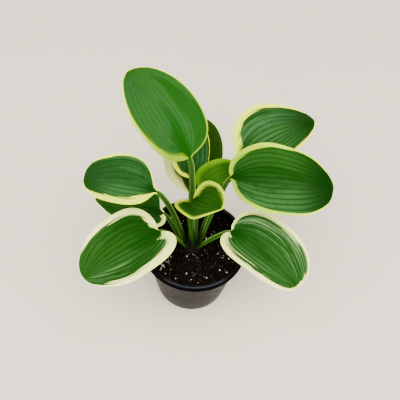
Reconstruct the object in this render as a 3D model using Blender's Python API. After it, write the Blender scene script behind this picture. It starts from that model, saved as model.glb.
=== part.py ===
"""Potted hosta: a nursery pot, its soil, the rooted crown and eleven leaves on their stalks.

Lengths are in metres and angles in degrees. The pot stands on z = 0, centred on the z axis.
"""
import math
from dataclasses import dataclass

import bmesh
import bpy
import numpy as np
from mathutils import Matrix, Vector, noise

# Pot: a 12 cm nursery pot.
POT_HEIGHT = 0.090
RIM_RADIUS = 0.060
RIM_DEPTH = 0.008
RIM_STEP = 0.0028
RIM_ROUND = 0.0014
BASE_RADIUS = 0.042
BASE_ROUND = 0.002
WALL = 0.0016
POT_SIDES = 48
DRAIN_HOLES = 6
DRAIN_RADIUS = 0.004
DRAIN_RING = 0.026

# Soil, and the gap that touching pieces keep. Faceted round faces need the wider fit to keep the gap.
GAP = 0.0003
FIT = 0.00045
SOIL_TOP = 0.082
SOIL_RINGS = 6
SOIL_LUMP = 0.0012
SOIL_GRAIN = 0.011

# Crown: the short rhizome that carries every leaf.
CROWN_AT = (-0.002, 0.001)
CROWN_RADIUS = 0.0150
CROWN_RISE = 0.0040
CROWN_DEPTH = 0.016
CROWN_SIDES = 16
SOCKET_DEPTH = 0.0040
SOCKET_SHARE = 0.16      # how much of a stalk's length its socket is cut along
SOCKET_RINGS = 5
CROWN_SHAPE = (          # share of the radius, share of the rise, share of the depth
    (0.0, 1.0, 0.0),
    (0.50, 0.9, 0.0),
    (0.84, 0.5, 0.0),
    (0.98, -0.3, 0.0),
    (1.0, 0.0, 0.25),
    (0.80, 0.0, 0.70),
    (0.35, 0.0, 1.0),
    (0.0, 0.0, 1.0),
)
ROOTS = 6
ROOT_SIDES = 6
ROOT_RINGS = 5
ROOT_RADIUS = 0.0018
ROOT_TAPER = 0.55
ROOT_REACH = 0.034
ROOT_DROP = 0.030
ROOT_LEVEL = 0.55        # share of the crown's depth where the roots leave it
ROOT_INSIDE = 0.1        # share of a root's reach where it starts, inside the crown

# Blade outline: Bezier handles, as shares of the lobe, the half width and the length.
WIDEST = 0.45            # share of the way round the outline where the blade is widest
LOBE_HANDLE = (-1.8, 0.22)
SIDE_HANDLE = -1.2
SHOULDER_HANDLE = 0.45
TIP_HANDLE = 1.0

# Leaves.
BLADE_THICKNESS = 0.0008
FOLD = 5.0
RIB_RELIEF = 0.00035
RIB_SPACING = 0.0042
ROW_SPACING = 0.0125
LEAST_ROWS = 7
ROW_CROWDING = 1.25      # above 1, rows crowd towards the joint along the midrib
WAVE_OFFSET = 0.8        # half turns between the waves of the two margins
STALK_SIDES = 8
STALK_RINGS = 8
BEND_LENGTH = 0.008
FOOT_RADIUS = 0.0017
FOOT_SHARE = 0.4         # share of the stalk over which it swells from the foot radius
STALK_HANDLES = (0.35, 0.25)
CHANNEL = 0.45
CHANNEL_START = 0.25     # share of the stalk over which the channel deepens
MIDRIB_RINGS = 5
MIDRIB_SHARE = 0.72
RIB_START = 0.007
RIB_END_RADIUS = 0.0006
RIB_SINK = 0.0002


@dataclass
class Leaf:
    """One leaf. Left and right are as seen from the stalk, looking along the midrib."""

    name: str
    foot: tuple              # x and y where the stalk leaves the crown
    joint: tuple             # where the stalk meets the blade
    length: float            # of the midrib
    halves: tuple            # width of the left and of the right half
    heading: float           # of the midrib at the joint, anticlockwise from +X
    rise: float              # slope of the midrib at the joint
    droop: float             # how much of that slope is lost by the tip
    colour: tuple
    sweep: float = 0.0       # turn of the heading by the tip
    roll: float = 0.0        # about the midrib, left half up
    cup: tuple = (12.0, 12.0)      # how far each half curls up towards its margin
    lobes: tuple = (0.03, 0.03)    # how far each half reaches back past the joint
    belly: tuple = (0.40, 0.40)    # where along the midrib each half is widest
    blunt: tuple = (0.50, 0.50)    # fullness of each half at the tip
    wave: float = 0.0015     # height of the waves along the margin
    waves: float = 1.6       # number of them
    phase: float = 0.0
    ribbing: float = 1.0     # share of the full depth of its ribs
    stalk: float = 0.0022    # radius of the stalk at the blade
    bow: float = 0.25        # how upright the stalk leaves the crown
    knee: float = 0.6        # how softly the stalk turns into the midrib


LIGHT_GREEN = (0.10, 0.30, 0.04)
MID_GREEN = (0.06, 0.22, 0.03)
DARK_GREEN = (0.03, 0.12, 0.03)
LIME_GREEN = (0.22, 0.42, 0.04)

LEAVES = (
    Leaf("leaf_back_left", foot=(-0.004, 0.002), joint=(-0.012, 0.040, 0.185), length=0.122,
         halves=(0.041, 0.038), heading=129, sweep=5, rise=36, droop=36, roll=2, cup=(10, 14),
         lobes=(0.0, -0.02), belly=(0.44, 0.38), blunt=(0.28, 0.70), wave=0.0012, ribbing=0.4,
         stalk=0.0031, colour=LIGHT_GREEN),
    Leaf("leaf_back_right", foot=(0.004, 0.007), joint=(0.039, 0.071, 0.150), length=0.109,
         halves=(0.042, 0.032), heading=33, rise=33, droop=42, roll=21, cup=(10, 30),
         lobes=(-0.06, -0.02), blunt=(0.15, 0.25), wave=0.0030, phase=0.55, ribbing=1.1, stalk=0.0026,
         colour=MID_GREEN),
    Leaf("leaf_right", foot=(0.006, 0.001), joint=(0.032, 0.036, 0.165), length=0.114,
         halves=(0.036, 0.041), heading=-4, sweep=10, rise=18, droop=40, roll=24, cup=(14, 4),
         lobes=(0.02, -0.02), belly=(0.38, 0.55), blunt=(0.35, 0.62), wave=0.0026, waves=2.2, phase=0.59,
         ribbing=1.3, stalk=0.0028, knee=0.3, colour=LIGHT_GREEN),
    Leaf("leaf_front_right", foot=(0.004, -0.005), joint=(0.039, -0.002, 0.120), length=0.094,
         halves=(0.038, 0.030), heading=-30, sweep=-14, rise=10, droop=34, roll=16, cup=(2, 20),
         lobes=(0.04, 0.07), blunt=(0.75, 0.62), wave=0.0015, phase=0.1, ribbing=0.6, stalk=0.0024,
         bow=0.8, knee=0.3, colour=MID_GREEN),
    Leaf("leaf_front_left", foot=(-0.008, -0.005), joint=(-0.039, -0.014, 0.125), length=0.092,
         halves=(0.037, 0.039), heading=-142, rise=2, droop=24, roll=-10, cup=(8, 8), lobes=(0.14, 0.03),
         belly=(0.46, 0.34), blunt=(0.45, 0.62), wave=0.0012, phase=0.7, stalk=0.0026, bow=0.8,
         colour=MID_GREEN),
    Leaf("leaf_left", foot=(-0.010, 0.005), joint=(-0.042, 0.007, 0.165), length=0.080,
         halves=(0.026, 0.031), heading=176, rise=16, droop=36, roll=-21, cup=(34, 16),
         lobes=(-0.06, -0.07), belly=(0.50, 0.50), blunt=(0.30, 0.70), wave=0.0020, phase=0.2,
         ribbing=0.7, stalk=0.0027, bow=0.2, colour=MID_GREEN),
    Leaf("leaf_left_low", foot=(-0.011, -0.001), joint=(-0.037, 0.015, 0.118), length=0.084,
         halves=(0.026, 0.026), heading=170, rise=10, droop=30, roll=-16, cup=(10, 10),
         lobes=(0.07, -0.04), belly=(0.36, 0.36), blunt=(0.05, 0.25), wave=0.0010, ribbing=0.6,
         stalk=0.0022, bow=0.0, colour=DARK_GREEN),
    Leaf("leaf_centre", foot=(-0.001, -0.003), joint=(-0.005, 0.003, 0.164), length=0.033,
         halves=(0.024, 0.0265), heading=-12, sweep=-13, rise=-2, droop=-10, roll=2, cup=(60, 15),
         lobes=(0.02, 0.43), belly=(0.55, 0.18), blunt=(0.46, 0.0), wave=0.0025, waves=0.7, phase=0.15,
         ribbing=0.5, stalk=0.0020, colour=LIGHT_GREEN),
    Leaf("leaf_inner_right", foot=(0.0015, 0.003), joint=(0.0005, 0.027, 0.150), length=0.054,
         halves=(0.021, 0.0095), heading=39, rise=14, droop=15, roll=14, cup=(30, 30), lobes=(0.0, 0.0),
         blunt=(0.50, 0.50), wave=0.0008, ribbing=0.5, stalk=0.0018, knee=0.2, colour=LIME_GREEN),
    Leaf("leaf_shaded_back", foot=(0.0, 0.010), joint=(-0.010, 0.048, 0.115), length=0.098,
         halves=(0.035, 0.035), heading=91, rise=45, droop=40, cup=(14, 14), lobes=(-0.03, -0.03),
         belly=(0.50, 0.50), blunt=(0.50, 0.50), wave=0.0015, phase=0.4, ribbing=0.7, colour=DARK_GREEN),
    Leaf("leaf_inner_back", foot=(-0.005, 0.009), joint=(-0.010, 0.050, 0.140), length=0.078,
         halves=(0.023, 0.023), heading=102, rise=50, droop=40, cup=(16, 16), lobes=(-0.02, -0.02),
         belly=(0.48, 0.48), blunt=(0.50, 0.50), wave=0.0010, ribbing=0.7, stalk=0.0018,
         colour=DARK_GREEN),
)


def clear_scene():
    """Start from an empty file."""
    for item in list(bpy.data.objects):
        bpy.data.objects.remove(item, do_unlink=True)


def make_material(name, colour, roughness):
    """A plain Principled material."""
    material = bpy.data.materials.new(name)
    material.use_nodes = True
    shader = material.node_tree.nodes["Principled BSDF"]
    shader.inputs["Base Color"].default_value = (*colour, 1.0)
    shader.inputs["Roughness"].default_value = roughness
    shader.inputs["Metallic"].default_value = 0.0
    material.diffuse_color = (*colour, 1.0)
    return material


def add_object(name, bm, material=None):
    """Turn a bmesh into an object in the scene."""
    bmesh.ops.recalc_face_normals(bm, faces=bm.faces)
    mesh = bpy.data.meshes.new(name)
    bm.to_mesh(mesh)
    bm.free()
    item = bpy.data.objects.new(name, mesh)
    bpy.context.collection.objects.link(item)
    if material:
        mesh.materials.append(material)
    return item


def apply_modifiers(item):
    """Replace the object's mesh by what its modifiers make of it."""
    depsgraph = bpy.context.evaluated_depsgraph_get()
    mesh = bpy.data.meshes.new_from_object(item.evaluated_get(depsgraph))
    mesh.name = item.name
    item.modifiers.clear()
    item.data = mesh


def boolean(item, others, operation):
    """Join the others to the item, or cut them from it, and remove them."""
    group = bpy.data.collections.new(item.name + "_tools")
    bpy.context.scene.collection.children.link(group)
    for other in others:
        group.objects.link(other)
    modifier = item.modifiers.new(operation.title(), "BOOLEAN")
    modifier.operation = operation
    modifier.operand_type = "COLLECTION"
    modifier.collection = group
    modifier.solver = "EXACT"
    apply_modifiers(item)
    for other in others:
        bpy.data.objects.remove(other, do_unlink=True)
    bpy.data.collections.remove(group)


def shade_smooth(item, sharp_angle=40):
    """Smooth shading with sharp edges kept."""
    for polygon in item.data.polygons:
        polygon.use_smooth = True
    item.data.set_sharp_from_angle(angle=math.radians(sharp_angle))


def turn_profile(profile, sides, centre=(0.0, 0.0)):
    """Spin a list of (radius, height) points round a vertical axis into a closed bmesh."""
    bm = bmesh.new()
    points = [bm.verts.new((centre[0] + radius, centre[1], height)) for radius, height in profile]
    edges = [bm.edges.new(pair) for pair in zip(points, points[1:])]
    bmesh.ops.spin(bm, geom=points + edges, cent=(*centre, 0.0), axis=(0, 0, 1),
                   angle=math.tau, steps=sides)
    bmesh.ops.remove_doubles(bm, verts=bm.verts, dist=0.00001)
    return bm


def loft(rings, sides):
    """A closed tube through rings of points, with a flat cap on each end."""
    bm = bmesh.new()
    loops = [[bm.verts.new(point) for point in ring] for ring in rings]
    for lower, upper in zip(loops, loops[1:]):
        for i in range(sides):
            j = (i + 1) % sides
            bm.faces.new((lower[i], lower[j], upper[j], upper[i]))
    bm.faces.new(reversed(loops[0]))
    bm.faces.new(loops[-1])
    return bm


# ---------------------------------------------------------------- pot and soil

def wall_radius(height):
    """Outer radius of the tapered wall at a height."""
    return BASE_RADIUS + (RIM_RADIUS - RIM_STEP - BASE_RADIUS) * height / POT_HEIGHT


def make_pot():
    """The thin tapered pot with its thick rim and a flat base with drain holes."""
    rim_foot = POT_HEIGHT - RIM_DEPTH
    inner = RIM_RADIUS - RIM_STEP - WALL
    profile = (
        (0.0, 0.0),
        (BASE_RADIUS - BASE_ROUND, 0.0),
        (BASE_RADIUS - BASE_ROUND * 0.3, BASE_ROUND * 0.3),
        (wall_radius(BASE_ROUND), BASE_ROUND),
        (wall_radius(rim_foot), rim_foot),
        (RIM_RADIUS - RIM_ROUND * 0.4, rim_foot),
        (RIM_RADIUS, rim_foot + RIM_ROUND),
        (RIM_RADIUS, POT_HEIGHT - RIM_ROUND),
        (RIM_RADIUS - RIM_ROUND, POT_HEIGHT),
        (inner + RIM_ROUND, POT_HEIGHT),
        (inner, POT_HEIGHT - RIM_ROUND),
        (wall_radius(WALL) - WALL, WALL),
        (0.0, WALL),
    )
    plastic = make_material("pot_plastic", (0.02, 0.02, 0.022), 0.35)
    pot = add_object("pot", turn_profile(profile, POT_SIDES), plastic)
    drills = []
    for i in range(DRAIN_HOLES):
        angle = math.tau * (i + 0.5) / DRAIN_HOLES
        bm = bmesh.new()
        centre = (DRAIN_RING * math.cos(angle), DRAIN_RING * math.sin(angle), WALL / 2)
        bmesh.ops.create_cone(bm, cap_ends=True, segments=12, radius1=DRAIN_RADIUS,
                              radius2=DRAIN_RADIUS, depth=WALL * 3, matrix=Matrix.Translation(centre))
        drills.append(add_object(f"drain_{i}", bm))
    boolean(pot, drills, "DIFFERENCE")
    shade_smooth(pot)
    return pot


def soil_height(x, y):
    """Lumpy surface of the potting mix."""
    lump = noise.noise(Vector((x, y, 0.0)) / SOIL_GRAIN)
    crumb = noise.noise(Vector((x, y, 0.05)) / (SOIL_GRAIN * 0.4))
    return SOIL_TOP + SOIL_LUMP * (lump + 0.5 * crumb)


def make_soil(crown_cutter):
    """The potting mix: fills the pot, lumpy on top, with a plain recess for the crown."""
    inner_top = wall_radius(SOIL_TOP) - WALL - FIT
    inner_base = wall_radius(WALL) - WALL - FIT
    rings = [(inner_top * i / SOIL_RINGS, SOIL_TOP) for i in range(SOIL_RINGS, -1, -1)]
    profile = [(0.0, WALL + GAP), (inner_base, WALL + GAP)] + rings
    bm = turn_profile(profile, POT_SIDES)
    for vert in bm.verts:
        if vert.co.z > SOIL_TOP - 0.0001:
            edge = 1.0 - (vert.co.xy.length / inner_top) ** 6
            vert.co.z += edge * (soil_height(vert.co.x, vert.co.y) - SOIL_TOP)
    bmesh.ops.triangulate(bm, faces=bm.faces)
    soil = add_object("potting_soil", bm, make_material("potting_mix", (0.025, 0.017, 0.012), 0.95))
    boolean(soil, [crown_cutter], "DIFFERENCE")
    return soil


# ---------------------------------------------------------------- crown

def root_rings(index):
    """Rings of one root, which leaves the crown's side and bends down."""
    angle = math.tau * (index + 0.3) / ROOTS
    out = Vector((math.cos(angle), math.sin(angle), 0.0))
    side = Vector((-out.y, out.x, 0.0))
    start = Vector((*CROWN_AT, SOIL_TOP - CROWN_DEPTH * ROOT_LEVEL))
    rings = []
    for step in range(ROOT_RINGS):
        t = step / (ROOT_RINGS - 1)
        reach = ROOT_REACH * (ROOT_INSIDE + (1 - ROOT_INSIDE) * t)
        centre = start + out * reach - Vector((0, 0, ROOT_DROP * t * t))
        slope = math.atan2(2 * ROOT_DROP * t, ROOT_REACH * (1 - ROOT_INSIDE))
        across = Vector((0, 0, 1)) * math.cos(slope) + out * math.sin(slope)
        radius = ROOT_RADIUS * (1.0 - ROOT_TAPER * t)
        angles = [math.tau * k / ROOT_SIDES for k in range(ROOT_SIDES)]
        rings.append([centre + radius * (side * math.cos(a) + across * math.sin(a)) for a in angles])
    return rings


def make_crown_body():
    """The domed rhizome with its roots, before its sockets are cut."""
    profile = []
    for radius, rise, depth in CROWN_SHAPE:
        profile.append((CROWN_RADIUS * radius, SOIL_TOP + CROWN_RISE * rise - CROWN_DEPTH * depth))
    material = make_material("crown_flesh", (0.30, 0.32, 0.12), 0.7)
    body = add_object("crown", turn_profile(profile, CROWN_SIDES, CROWN_AT), material)
    roots = [add_object(f"root_{i}", loft(root_rings(i), ROOT_SIDES)) for i in range(ROOTS)]
    boolean(body, roots, "UNION")
    return body


def fattened_copy(item, distance):
    """A copy grown evenly by a distance, which cuts a seat for the item."""
    bm = bmesh.new()
    bm.from_mesh(item.data)
    bm.normal_update()
    moves = [(vert, vert.normal * vert.calc_shell_factor() * distance) for vert in bm.verts]
    for vert, move in moves:
        vert.co += move
    return add_object(item.name + "_cutter", bm)


def cut_sockets(crown):
    """Cut a plain hole in the crown for the foot of each stalk."""
    feet = [add_object(f"socket_{leaf.name}", loft(foot_rings(leaf), STALK_SIDES)) for leaf in LEAVES]
    boolean(crown, feet, "DIFFERENCE")
    shade_smooth(crown)


# ---------------------------------------------------------------- leaves

def cubic(points, t):
    """Points along a cubic Bezier curve."""
    a, b, c, d = (np.array(point, float) for point in points)
    t = np.asarray(t, float)[..., None]
    return (1 - t) ** 3 * a + 3 * (1 - t) ** 2 * t * b + 3 * (1 - t) * t * t * c + t ** 3 * d


def half_outline(leaf, side, u):
    """Flat outline of one half, as shares of the blade's length and of the half's width."""
    half = 0 if side > 0 else 1
    lobe = leaf.lobes[half]
    belly = leaf.belly[half]
    shoulder = belly + SHOULDER_HANDLE * (1 - belly)
    base_points = ((0, 0), (LOBE_HANDLE[0] * lobe, LOBE_HANDLE[1]), (SIDE_HANDLE * lobe, 1), (belly, 1))
    end_points = ((belly, 1), (shoulder, 1), (TIP_HANDLE, leaf.blunt[half]), (1, 0))
    base = cubic(base_points, np.clip(u / WIDEST, 0, 1))
    end = cubic(end_points, np.clip((u - WIDEST) / (1 - WIDEST), 0, 1))
    return np.where(np.asarray(u)[..., None] < WIDEST, base, end)


def midrib(leaf, samples=61):
    """Points of the midrib, with its direction, the way to the left and the way up."""
    t = np.linspace(0, 1, samples)
    pitch = np.radians(leaf.rise - leaf.droop * t)
    turn = np.radians(leaf.heading + leaf.sweep * t)
    along = np.stack([np.cos(turn) * np.cos(pitch), np.sin(turn) * np.cos(pitch), np.sin(pitch)], 1)
    steps = (along[1:] + along[:-1]) / 2 * leaf.length / (samples - 1)
    points = np.concatenate([np.zeros((1, 3)), np.cumsum(steps, 0)]) + np.array(leaf.joint)
    level = np.stack([-np.sin(turn), np.cos(turn), np.zeros(samples)], 1)
    upright = np.cross(along, level)
    roll = math.radians(leaf.roll)
    left = level * math.cos(roll) + upright * math.sin(roll)
    up = upright * math.cos(roll) - level * math.sin(roll)
    return t, points, along, left, up


def blade_points(leaf, x, y, lift=0.0):
    """Place flat blade points: x as a share of the length, y in metres to the left."""
    t, points, along, left, up = midrib(leaf)
    share = np.clip(x, 0, 1)

    def at(values):
        return np.stack([np.interp(share, t, values[:, axis]) for axis in range(3)], -1)

    side = np.where(y >= 0, 1.0, -1.0)
    half = np.where(y >= 0, leaf.halves[0], leaf.halves[1])
    cup = np.radians(np.where(y >= 0, leaf.cup[0], leaf.cup[1])) / half
    fold = math.radians(FOLD)
    bend = fold + cup * np.abs(y)
    across = (np.sin(bend) - math.sin(fold)) / cup
    height = (math.cos(fold) - np.cos(bend)) / cup
    turn = math.tau * (leaf.waves * x + leaf.phase) + WAVE_OFFSET * math.pi * (side < 0)
    wave = leaf.wave * (y / half) ** 2 * np.sin(turn)
    place = at(points) + at(along) * ((x - share) * leaf.length)[..., None]
    place = place + at(left) * (side * across)[..., None]
    return place + at(up) * (height + wave + lift)[..., None]


def blade_mesh(leaf):
    """The blade's middle surface, in rows from the joint to the tip, ribs standing up."""
    ribs = round(max(leaf.halves) / RIB_SPACING)
    columns = np.arange(-ribs, ribs + 1) / ribs
    rows = np.linspace(0, 1, LEAST_ROWS + round(leaf.length / ROW_SPACING))[1:-1]
    bm = bmesh.new()
    joint = bm.verts.new(blade_points(leaf, np.array([0.0]), np.array([0.0]))[0])
    grid = []
    for u in rows:
        line = []
        for column, v in enumerate(columns):
            side = 1 if v >= 0 else -1
            edge = half_outline(leaf, side, np.array([u]))[0]
            x = (1 - abs(v)) * u ** ROW_CROWDING + abs(v) * edge[0]
            y = v * edge[1] * leaf.halves[0 if side > 0 else 1]
            raised = 1 if (column - ribs) % 2 else -1
            relief = RIB_RELIEF * leaf.ribbing * raised * math.sin(math.pi * u) * (1 - v * v)
            line.append(bm.verts.new(blade_points(leaf, np.array([x]), np.array([y]), relief)[0]))
        grid.append(line)
    tip = bm.verts.new(blade_points(leaf, np.array([1.0]), np.array([0.0]))[0])
    last = len(columns) - 1
    for k in range(last):
        bm.faces.new((joint, grid[0][k + 1], grid[0][k]))
        bm.faces.new((tip, grid[-1][k], grid[-1][k + 1]))
        for lower, upper in zip(grid, grid[1:]):
            if k < last / 2:
                bm.faces.new((lower[k], lower[k + 1], upper[k + 1]))
                bm.faces.new((lower[k], upper[k + 1], upper[k]))
            else:
                bm.faces.new((lower[k], lower[k + 1], upper[k]))
                bm.faces.new((lower[k + 1], upper[k + 1], upper[k]))
    return bm


def stalk_line(leaf, t):
    """Centre line of the stalk from the crown to the joint."""
    foot = np.array((*leaf.foot, SOIL_TOP + CROWN_RISE - SOCKET_DEPTH))
    joint = np.array(leaf.joint)
    span = np.linalg.norm(joint - foot)
    chord = (joint - foot) / span
    start = chord + np.array((0, 0, leaf.bow))
    start /= np.linalg.norm(start)
    end = chord + midrib(leaf)[2][0] * leaf.knee
    end /= np.linalg.norm(end)
    leaving = foot + start * span * STALK_HANDLES[0]
    arriving = joint - end * span * STALK_HANDLES[1]
    return cubic((foot, leaving, arriving, joint), t)


def channel_ring(centre, along, left, radius, channel):
    """One section of the stalk: round, with a channel along its upper side."""
    left = left - along * np.dot(left, along)
    left /= np.linalg.norm(left)
    up = np.cross(along, left)
    ring = []
    for k in range(STALK_SIDES):
        angle = math.tau * k / STALK_SIDES
        height = math.sin(angle)
        if k == STALK_SIDES // 4:
            height -= channel
        ring.append(centre + radius * (left * math.cos(angle) + up * height))
    return ring


def rings_along(centres, lefts, radii, channels):
    """Sections square to a line of centres."""
    along = np.gradient(np.array(centres), axis=0)
    along /= np.linalg.norm(along, axis=1)[:, None]
    sections = zip(centres, along, lefts, radii, channels)
    return [channel_ring(*section) for section in sections]


def stalk_radius(leaf, share):
    """Radius of the stalk, slimmer at its foot."""
    return FOOT_RADIUS + (leaf.stalk - FOOT_RADIUS) * min(1.0, share / FOOT_SHARE)


def foot_rings(leaf):
    """The stalk's foot grown by the fit, which cuts its socket in the crown."""
    shares = np.linspace(0, SOCKET_SHARE, SOCKET_RINGS)
    centres = stalk_line(leaf, shares)
    downwards = centres[0] - centres[1]
    centres[0] += downwards / np.linalg.norm(downwards) * FIT
    left = midrib(leaf)[3][0]
    radii = [stalk_radius(leaf, share) + FIT for share in shares]
    return rings_along(centres, [left] * SOCKET_RINGS, radii, [0.0] * SOCKET_RINGS)


def stalk_rings(leaf):
    """The stalk from the crown to the joint, then on as a rib under the blade."""
    t, points, along, left, up = midrib(leaf)
    foot, joint = stalk_line(leaf, (0.0, 1.0))
    climb = np.linspace(0, 1 - BEND_LENGTH / np.linalg.norm(joint - foot), STALK_RINGS)
    centres = list(stalk_line(leaf, climb))
    lefts = [left[0]] * STALK_RINGS
    radii = [stalk_radius(leaf, share) for share in climb]
    channels = [CHANNEL * min(1.0, share / CHANNEL_START) for share in climb]
    for share in [0.0] + list(np.linspace(RIB_START / leaf.length, MIDRIB_SHARE, MIDRIB_RINGS)):
        i = int(round(share * (len(t) - 1)))
        radius = RIB_END_RADIUS + (leaf.stalk - RIB_END_RADIUS) * (1 - share / MIDRIB_SHARE)
        centres.append(points[i] - up[i] * (radius + RIB_SINK))
        lefts.append(left[i])
        radii.append(radius)
        channels.append(0.0)
    return rings_along(centres, lefts, radii, channels)


def make_leaf(leaf):
    """One leaf: the waved, ribbed blade joined to its channelled stalk."""
    green = make_material(leaf.name + "_green", leaf.colour, 0.45)
    item = add_object(leaf.name, blade_mesh(leaf), green)
    solid = item.modifiers.new("Thickness", "SOLIDIFY")
    solid.thickness = BLADE_THICKNESS
    solid.offset = 0.0
    apply_modifiers(item)
    stalk = add_object(leaf.name + "_stalk", loft(stalk_rings(leaf), STALK_SIDES))
    boolean(item, [stalk], "UNION")
    shade_smooth(item)
    return item


def main():
    """Build every piece."""
    clear_scene()
    make_pot()
    crown = make_crown_body()
    make_soil(fattened_copy(crown, FIT))
    cut_sockets(crown)
    for leaf in LEAVES:
        make_leaf(leaf)


main()
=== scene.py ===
"""Potted hosta, dressed: a black nursery pot, potting mix with perlite, the crown and eleven leaves.

Each piece follows its solid in the frame. Lengths are in metres, apart from the widths of the pale
margins, which are in millimetres. Angles are in degrees.
"""
import math
from dataclasses import dataclass

import bpy
import numpy as np
from mathutils import Matrix, Vector, noise


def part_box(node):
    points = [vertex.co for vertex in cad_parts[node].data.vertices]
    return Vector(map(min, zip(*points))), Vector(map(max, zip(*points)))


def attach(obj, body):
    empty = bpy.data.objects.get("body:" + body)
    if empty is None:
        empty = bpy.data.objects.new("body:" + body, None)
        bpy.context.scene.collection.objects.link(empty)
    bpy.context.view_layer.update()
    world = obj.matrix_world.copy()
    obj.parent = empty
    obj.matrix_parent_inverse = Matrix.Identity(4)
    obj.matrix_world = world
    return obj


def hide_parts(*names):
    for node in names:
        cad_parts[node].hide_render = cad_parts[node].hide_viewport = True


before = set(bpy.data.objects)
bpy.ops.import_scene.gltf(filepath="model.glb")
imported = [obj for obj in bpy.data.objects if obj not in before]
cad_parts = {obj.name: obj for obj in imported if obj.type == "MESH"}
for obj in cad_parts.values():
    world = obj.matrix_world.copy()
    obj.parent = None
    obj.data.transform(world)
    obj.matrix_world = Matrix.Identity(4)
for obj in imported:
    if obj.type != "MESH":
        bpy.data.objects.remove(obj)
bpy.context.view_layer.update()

bl_info = {
    "name": "Potted Hosta",
    "version": (1, 0, 0),
    "blender": (4, 5, 0),
    "location": "View3D > Sidebar > Hosta",
    "description": "Builds a potted hosta with variegated leaves, piece by piece",
    "category": "Add Mesh",
}

POT_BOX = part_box("pot")
POT_HEIGHT = POT_BOX[1][2]
RIM_RADIUS = POT_BOX[1][0]
MM_IN_M = 1000
MERGE_DISTANCE = 0.000002        # vertices nearer than this become one
TOLERANCE = 0.0001               # when vertices or faces are picked by their height

# The pot's own sizes, as in its solid.
RIM_DEPTH = 0.008
RIM_STEP = 0.0028
RIM_FOOT = POT_HEIGHT - RIM_DEPTH
BASE_RADIUS = 0.042
WALL = 0.0016
DRAIN_HOLES = 6
DRAIN_RADIUS = 0.004
DRAIN_RING = 0.026
DRAIN_FACETS = 32

# Finer forms of the pot.
FLOOR_RECESS = 0.0006            # of the underside's middle over the ring that the pot stands on
RECESS_SLOPE = (0.86, 0.89)      # inner and outer edge of the slope down to that ring, over BASE_RADIUS
BASE_CORNER = ((0.0016, 0.0), (0.0006, 0.0005))      # rounded corner of the base: inset, height
CORNER_TOP = 0.0022
WALL_FROM = 0.006                # the wall's even rows run from here to just under the rim
WALL_ROWS = 12
ROW_GAP = 0.001                  # a row this far from a corner keeps it crisp
LIP_STEPS = 6
INNER_ROWS = (0.06, 0.03)        # heights of the inner wall's rows below the mix's top
RIM_CORNER = ((0.5, 0.0), (0.1, 0.4), (0.0, 1.0))    # lower corner: inset, rise, over the lip's rounding

# Potting mix, its loose grains and the crown.
SOIL_TOP = 0.082
SOIL_FIT = 0.00045               # gap between the mix and the wall
SOIL_GAP = 0.0003                # gap between the mix and the floor
SOIL_GRAIN = 0.011               # size of the largest lumps
SOIL_OCTAVES = ((1.0, 0.0, 1.0), (0.4, 0.05, 0.5), (0.16, 0.09, 0.35))   # lumps' size, noise level, height
SOIL_RINGS = 46
SOIL_FACETS = 180
WALL_EVENNESS = 8                # the higher, the nearer to the wall the lumps reach
HOLLOW_DEPTH = 0.004             # of the hollow for the crown
HOLLOW_EDGE = (0.7, 1.05)        # where its floor ends and where it meets the surface, over CROWN_RADIUS
GRAIN_MARGIN = 0.0015            # grains stay this far from the wall
CROWN_MARGIN = 0.97              # and this far from the crown's axis, over CROWN_RADIUS
GRAIN_SKEW = (4, 9)              # how rare large grains are: at the front, and what the back adds
GRAIN_ROUGHNESS = 0.35
GRAIN_SQUASH = (0.6, 1.0)        # least and greatest share of its size that an axis keeps
GRAIN_LIFT = 0.25                # of a grain's middle over the mix, over its size
HEAPS = 11                       # of perlite
HEAP_SPREAD = 0.004
CROWN_AT = (-0.002, 0.001)
CROWN_RADIUS = 0.0150
CROWN_RISE = 0.0040
CROWN_DEPTH = 0.016
CROWN_FACETS = 64
CROWN_PROFILE = (                # radius, rise and depth over CROWN_RADIUS, CROWN_RISE and CROWN_DEPTH
    (0.35, 0.0, 1.0), (0.80, 0.0, 0.70), (1.0, 0.0, 0.25), (0.98, -0.3, 0.0), (0.94, 0.05, 0.0),
    (0.84, 0.5, 0.0), (0.68, 0.75, 0.0), (0.50, 0.9, 0.0), (0.25, 0.98, 0.0), (0.05, 1.0, 0.0))
EARTHED = (0.40, 0.75)           # where earth starts to cover the crown and where it hides it
SOCKET_DEPTH = 0.0040
ROOTS = 6
ROOT_TURN = 0.3                  # of the first root, as a share of the angle between two
ROOT_LEVEL = 0.55                # depth at which roots leave the crown, over CROWN_DEPTH
ROOT_START = 0.1                 # where they start, over ROOT_REACH
ROOT_REACH = 0.034
ROOT_DROP = 0.030
ROOT_RADIUS = 0.0018
ROOT_TAPER = 0.7                 # share of the radius that is lost by the end
ROOT_STEPS = 23

# Outline and form of a blade. Handles are those of the outline's two curves.
FOLD = 5.0                       # slope of each half beside the midrib
WIDEST = 0.45                    # share of the outline's run that lies before its widest place
LOBE_HANDLE = (-1.8, 0.22)
SIDE_HANDLE = -1.2
SHOULDER_HANDLE = 0.45
TIP_HANDLE = 1.0
ROW_CROWDING = 1.25              # crowds the rows along the midrib towards the joint
WAVE_OFFSET = 0.8                # how far the right half's waves run ahead, in half turns
MIDRIB_SAMPLES = 121
OUTLINE_SAMPLES = 240
POINTS_AT_ONCE = 4000            # keeps the table of distances from the margin small
MARGIN_AT = (0.0, 0.3, 0.6, 0.85)
MARGIN_SPLIT = (-0.15, 0.15)     # across the midrib, from the right half's widths to the left's
MARGIN_REACH = 0.55              # share of a half that its pale margin covers at most
REACH_ENDS = (0.55, 0.9)         # along the blade, where that limit ends
MARGIN_FOOT = 0.3                # width of the margin at the joint, over its full width
MARGIN_GROWS = (0.0, 0.10)       # along the blade
NECK = 0.10                      # share of the blade over which its base opens out of the stalk's channel
NECK_WIDTH = 0.85                # half its width and its drop at the joint, over the stalk's radius
NECK_DROP = 0.7
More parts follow.
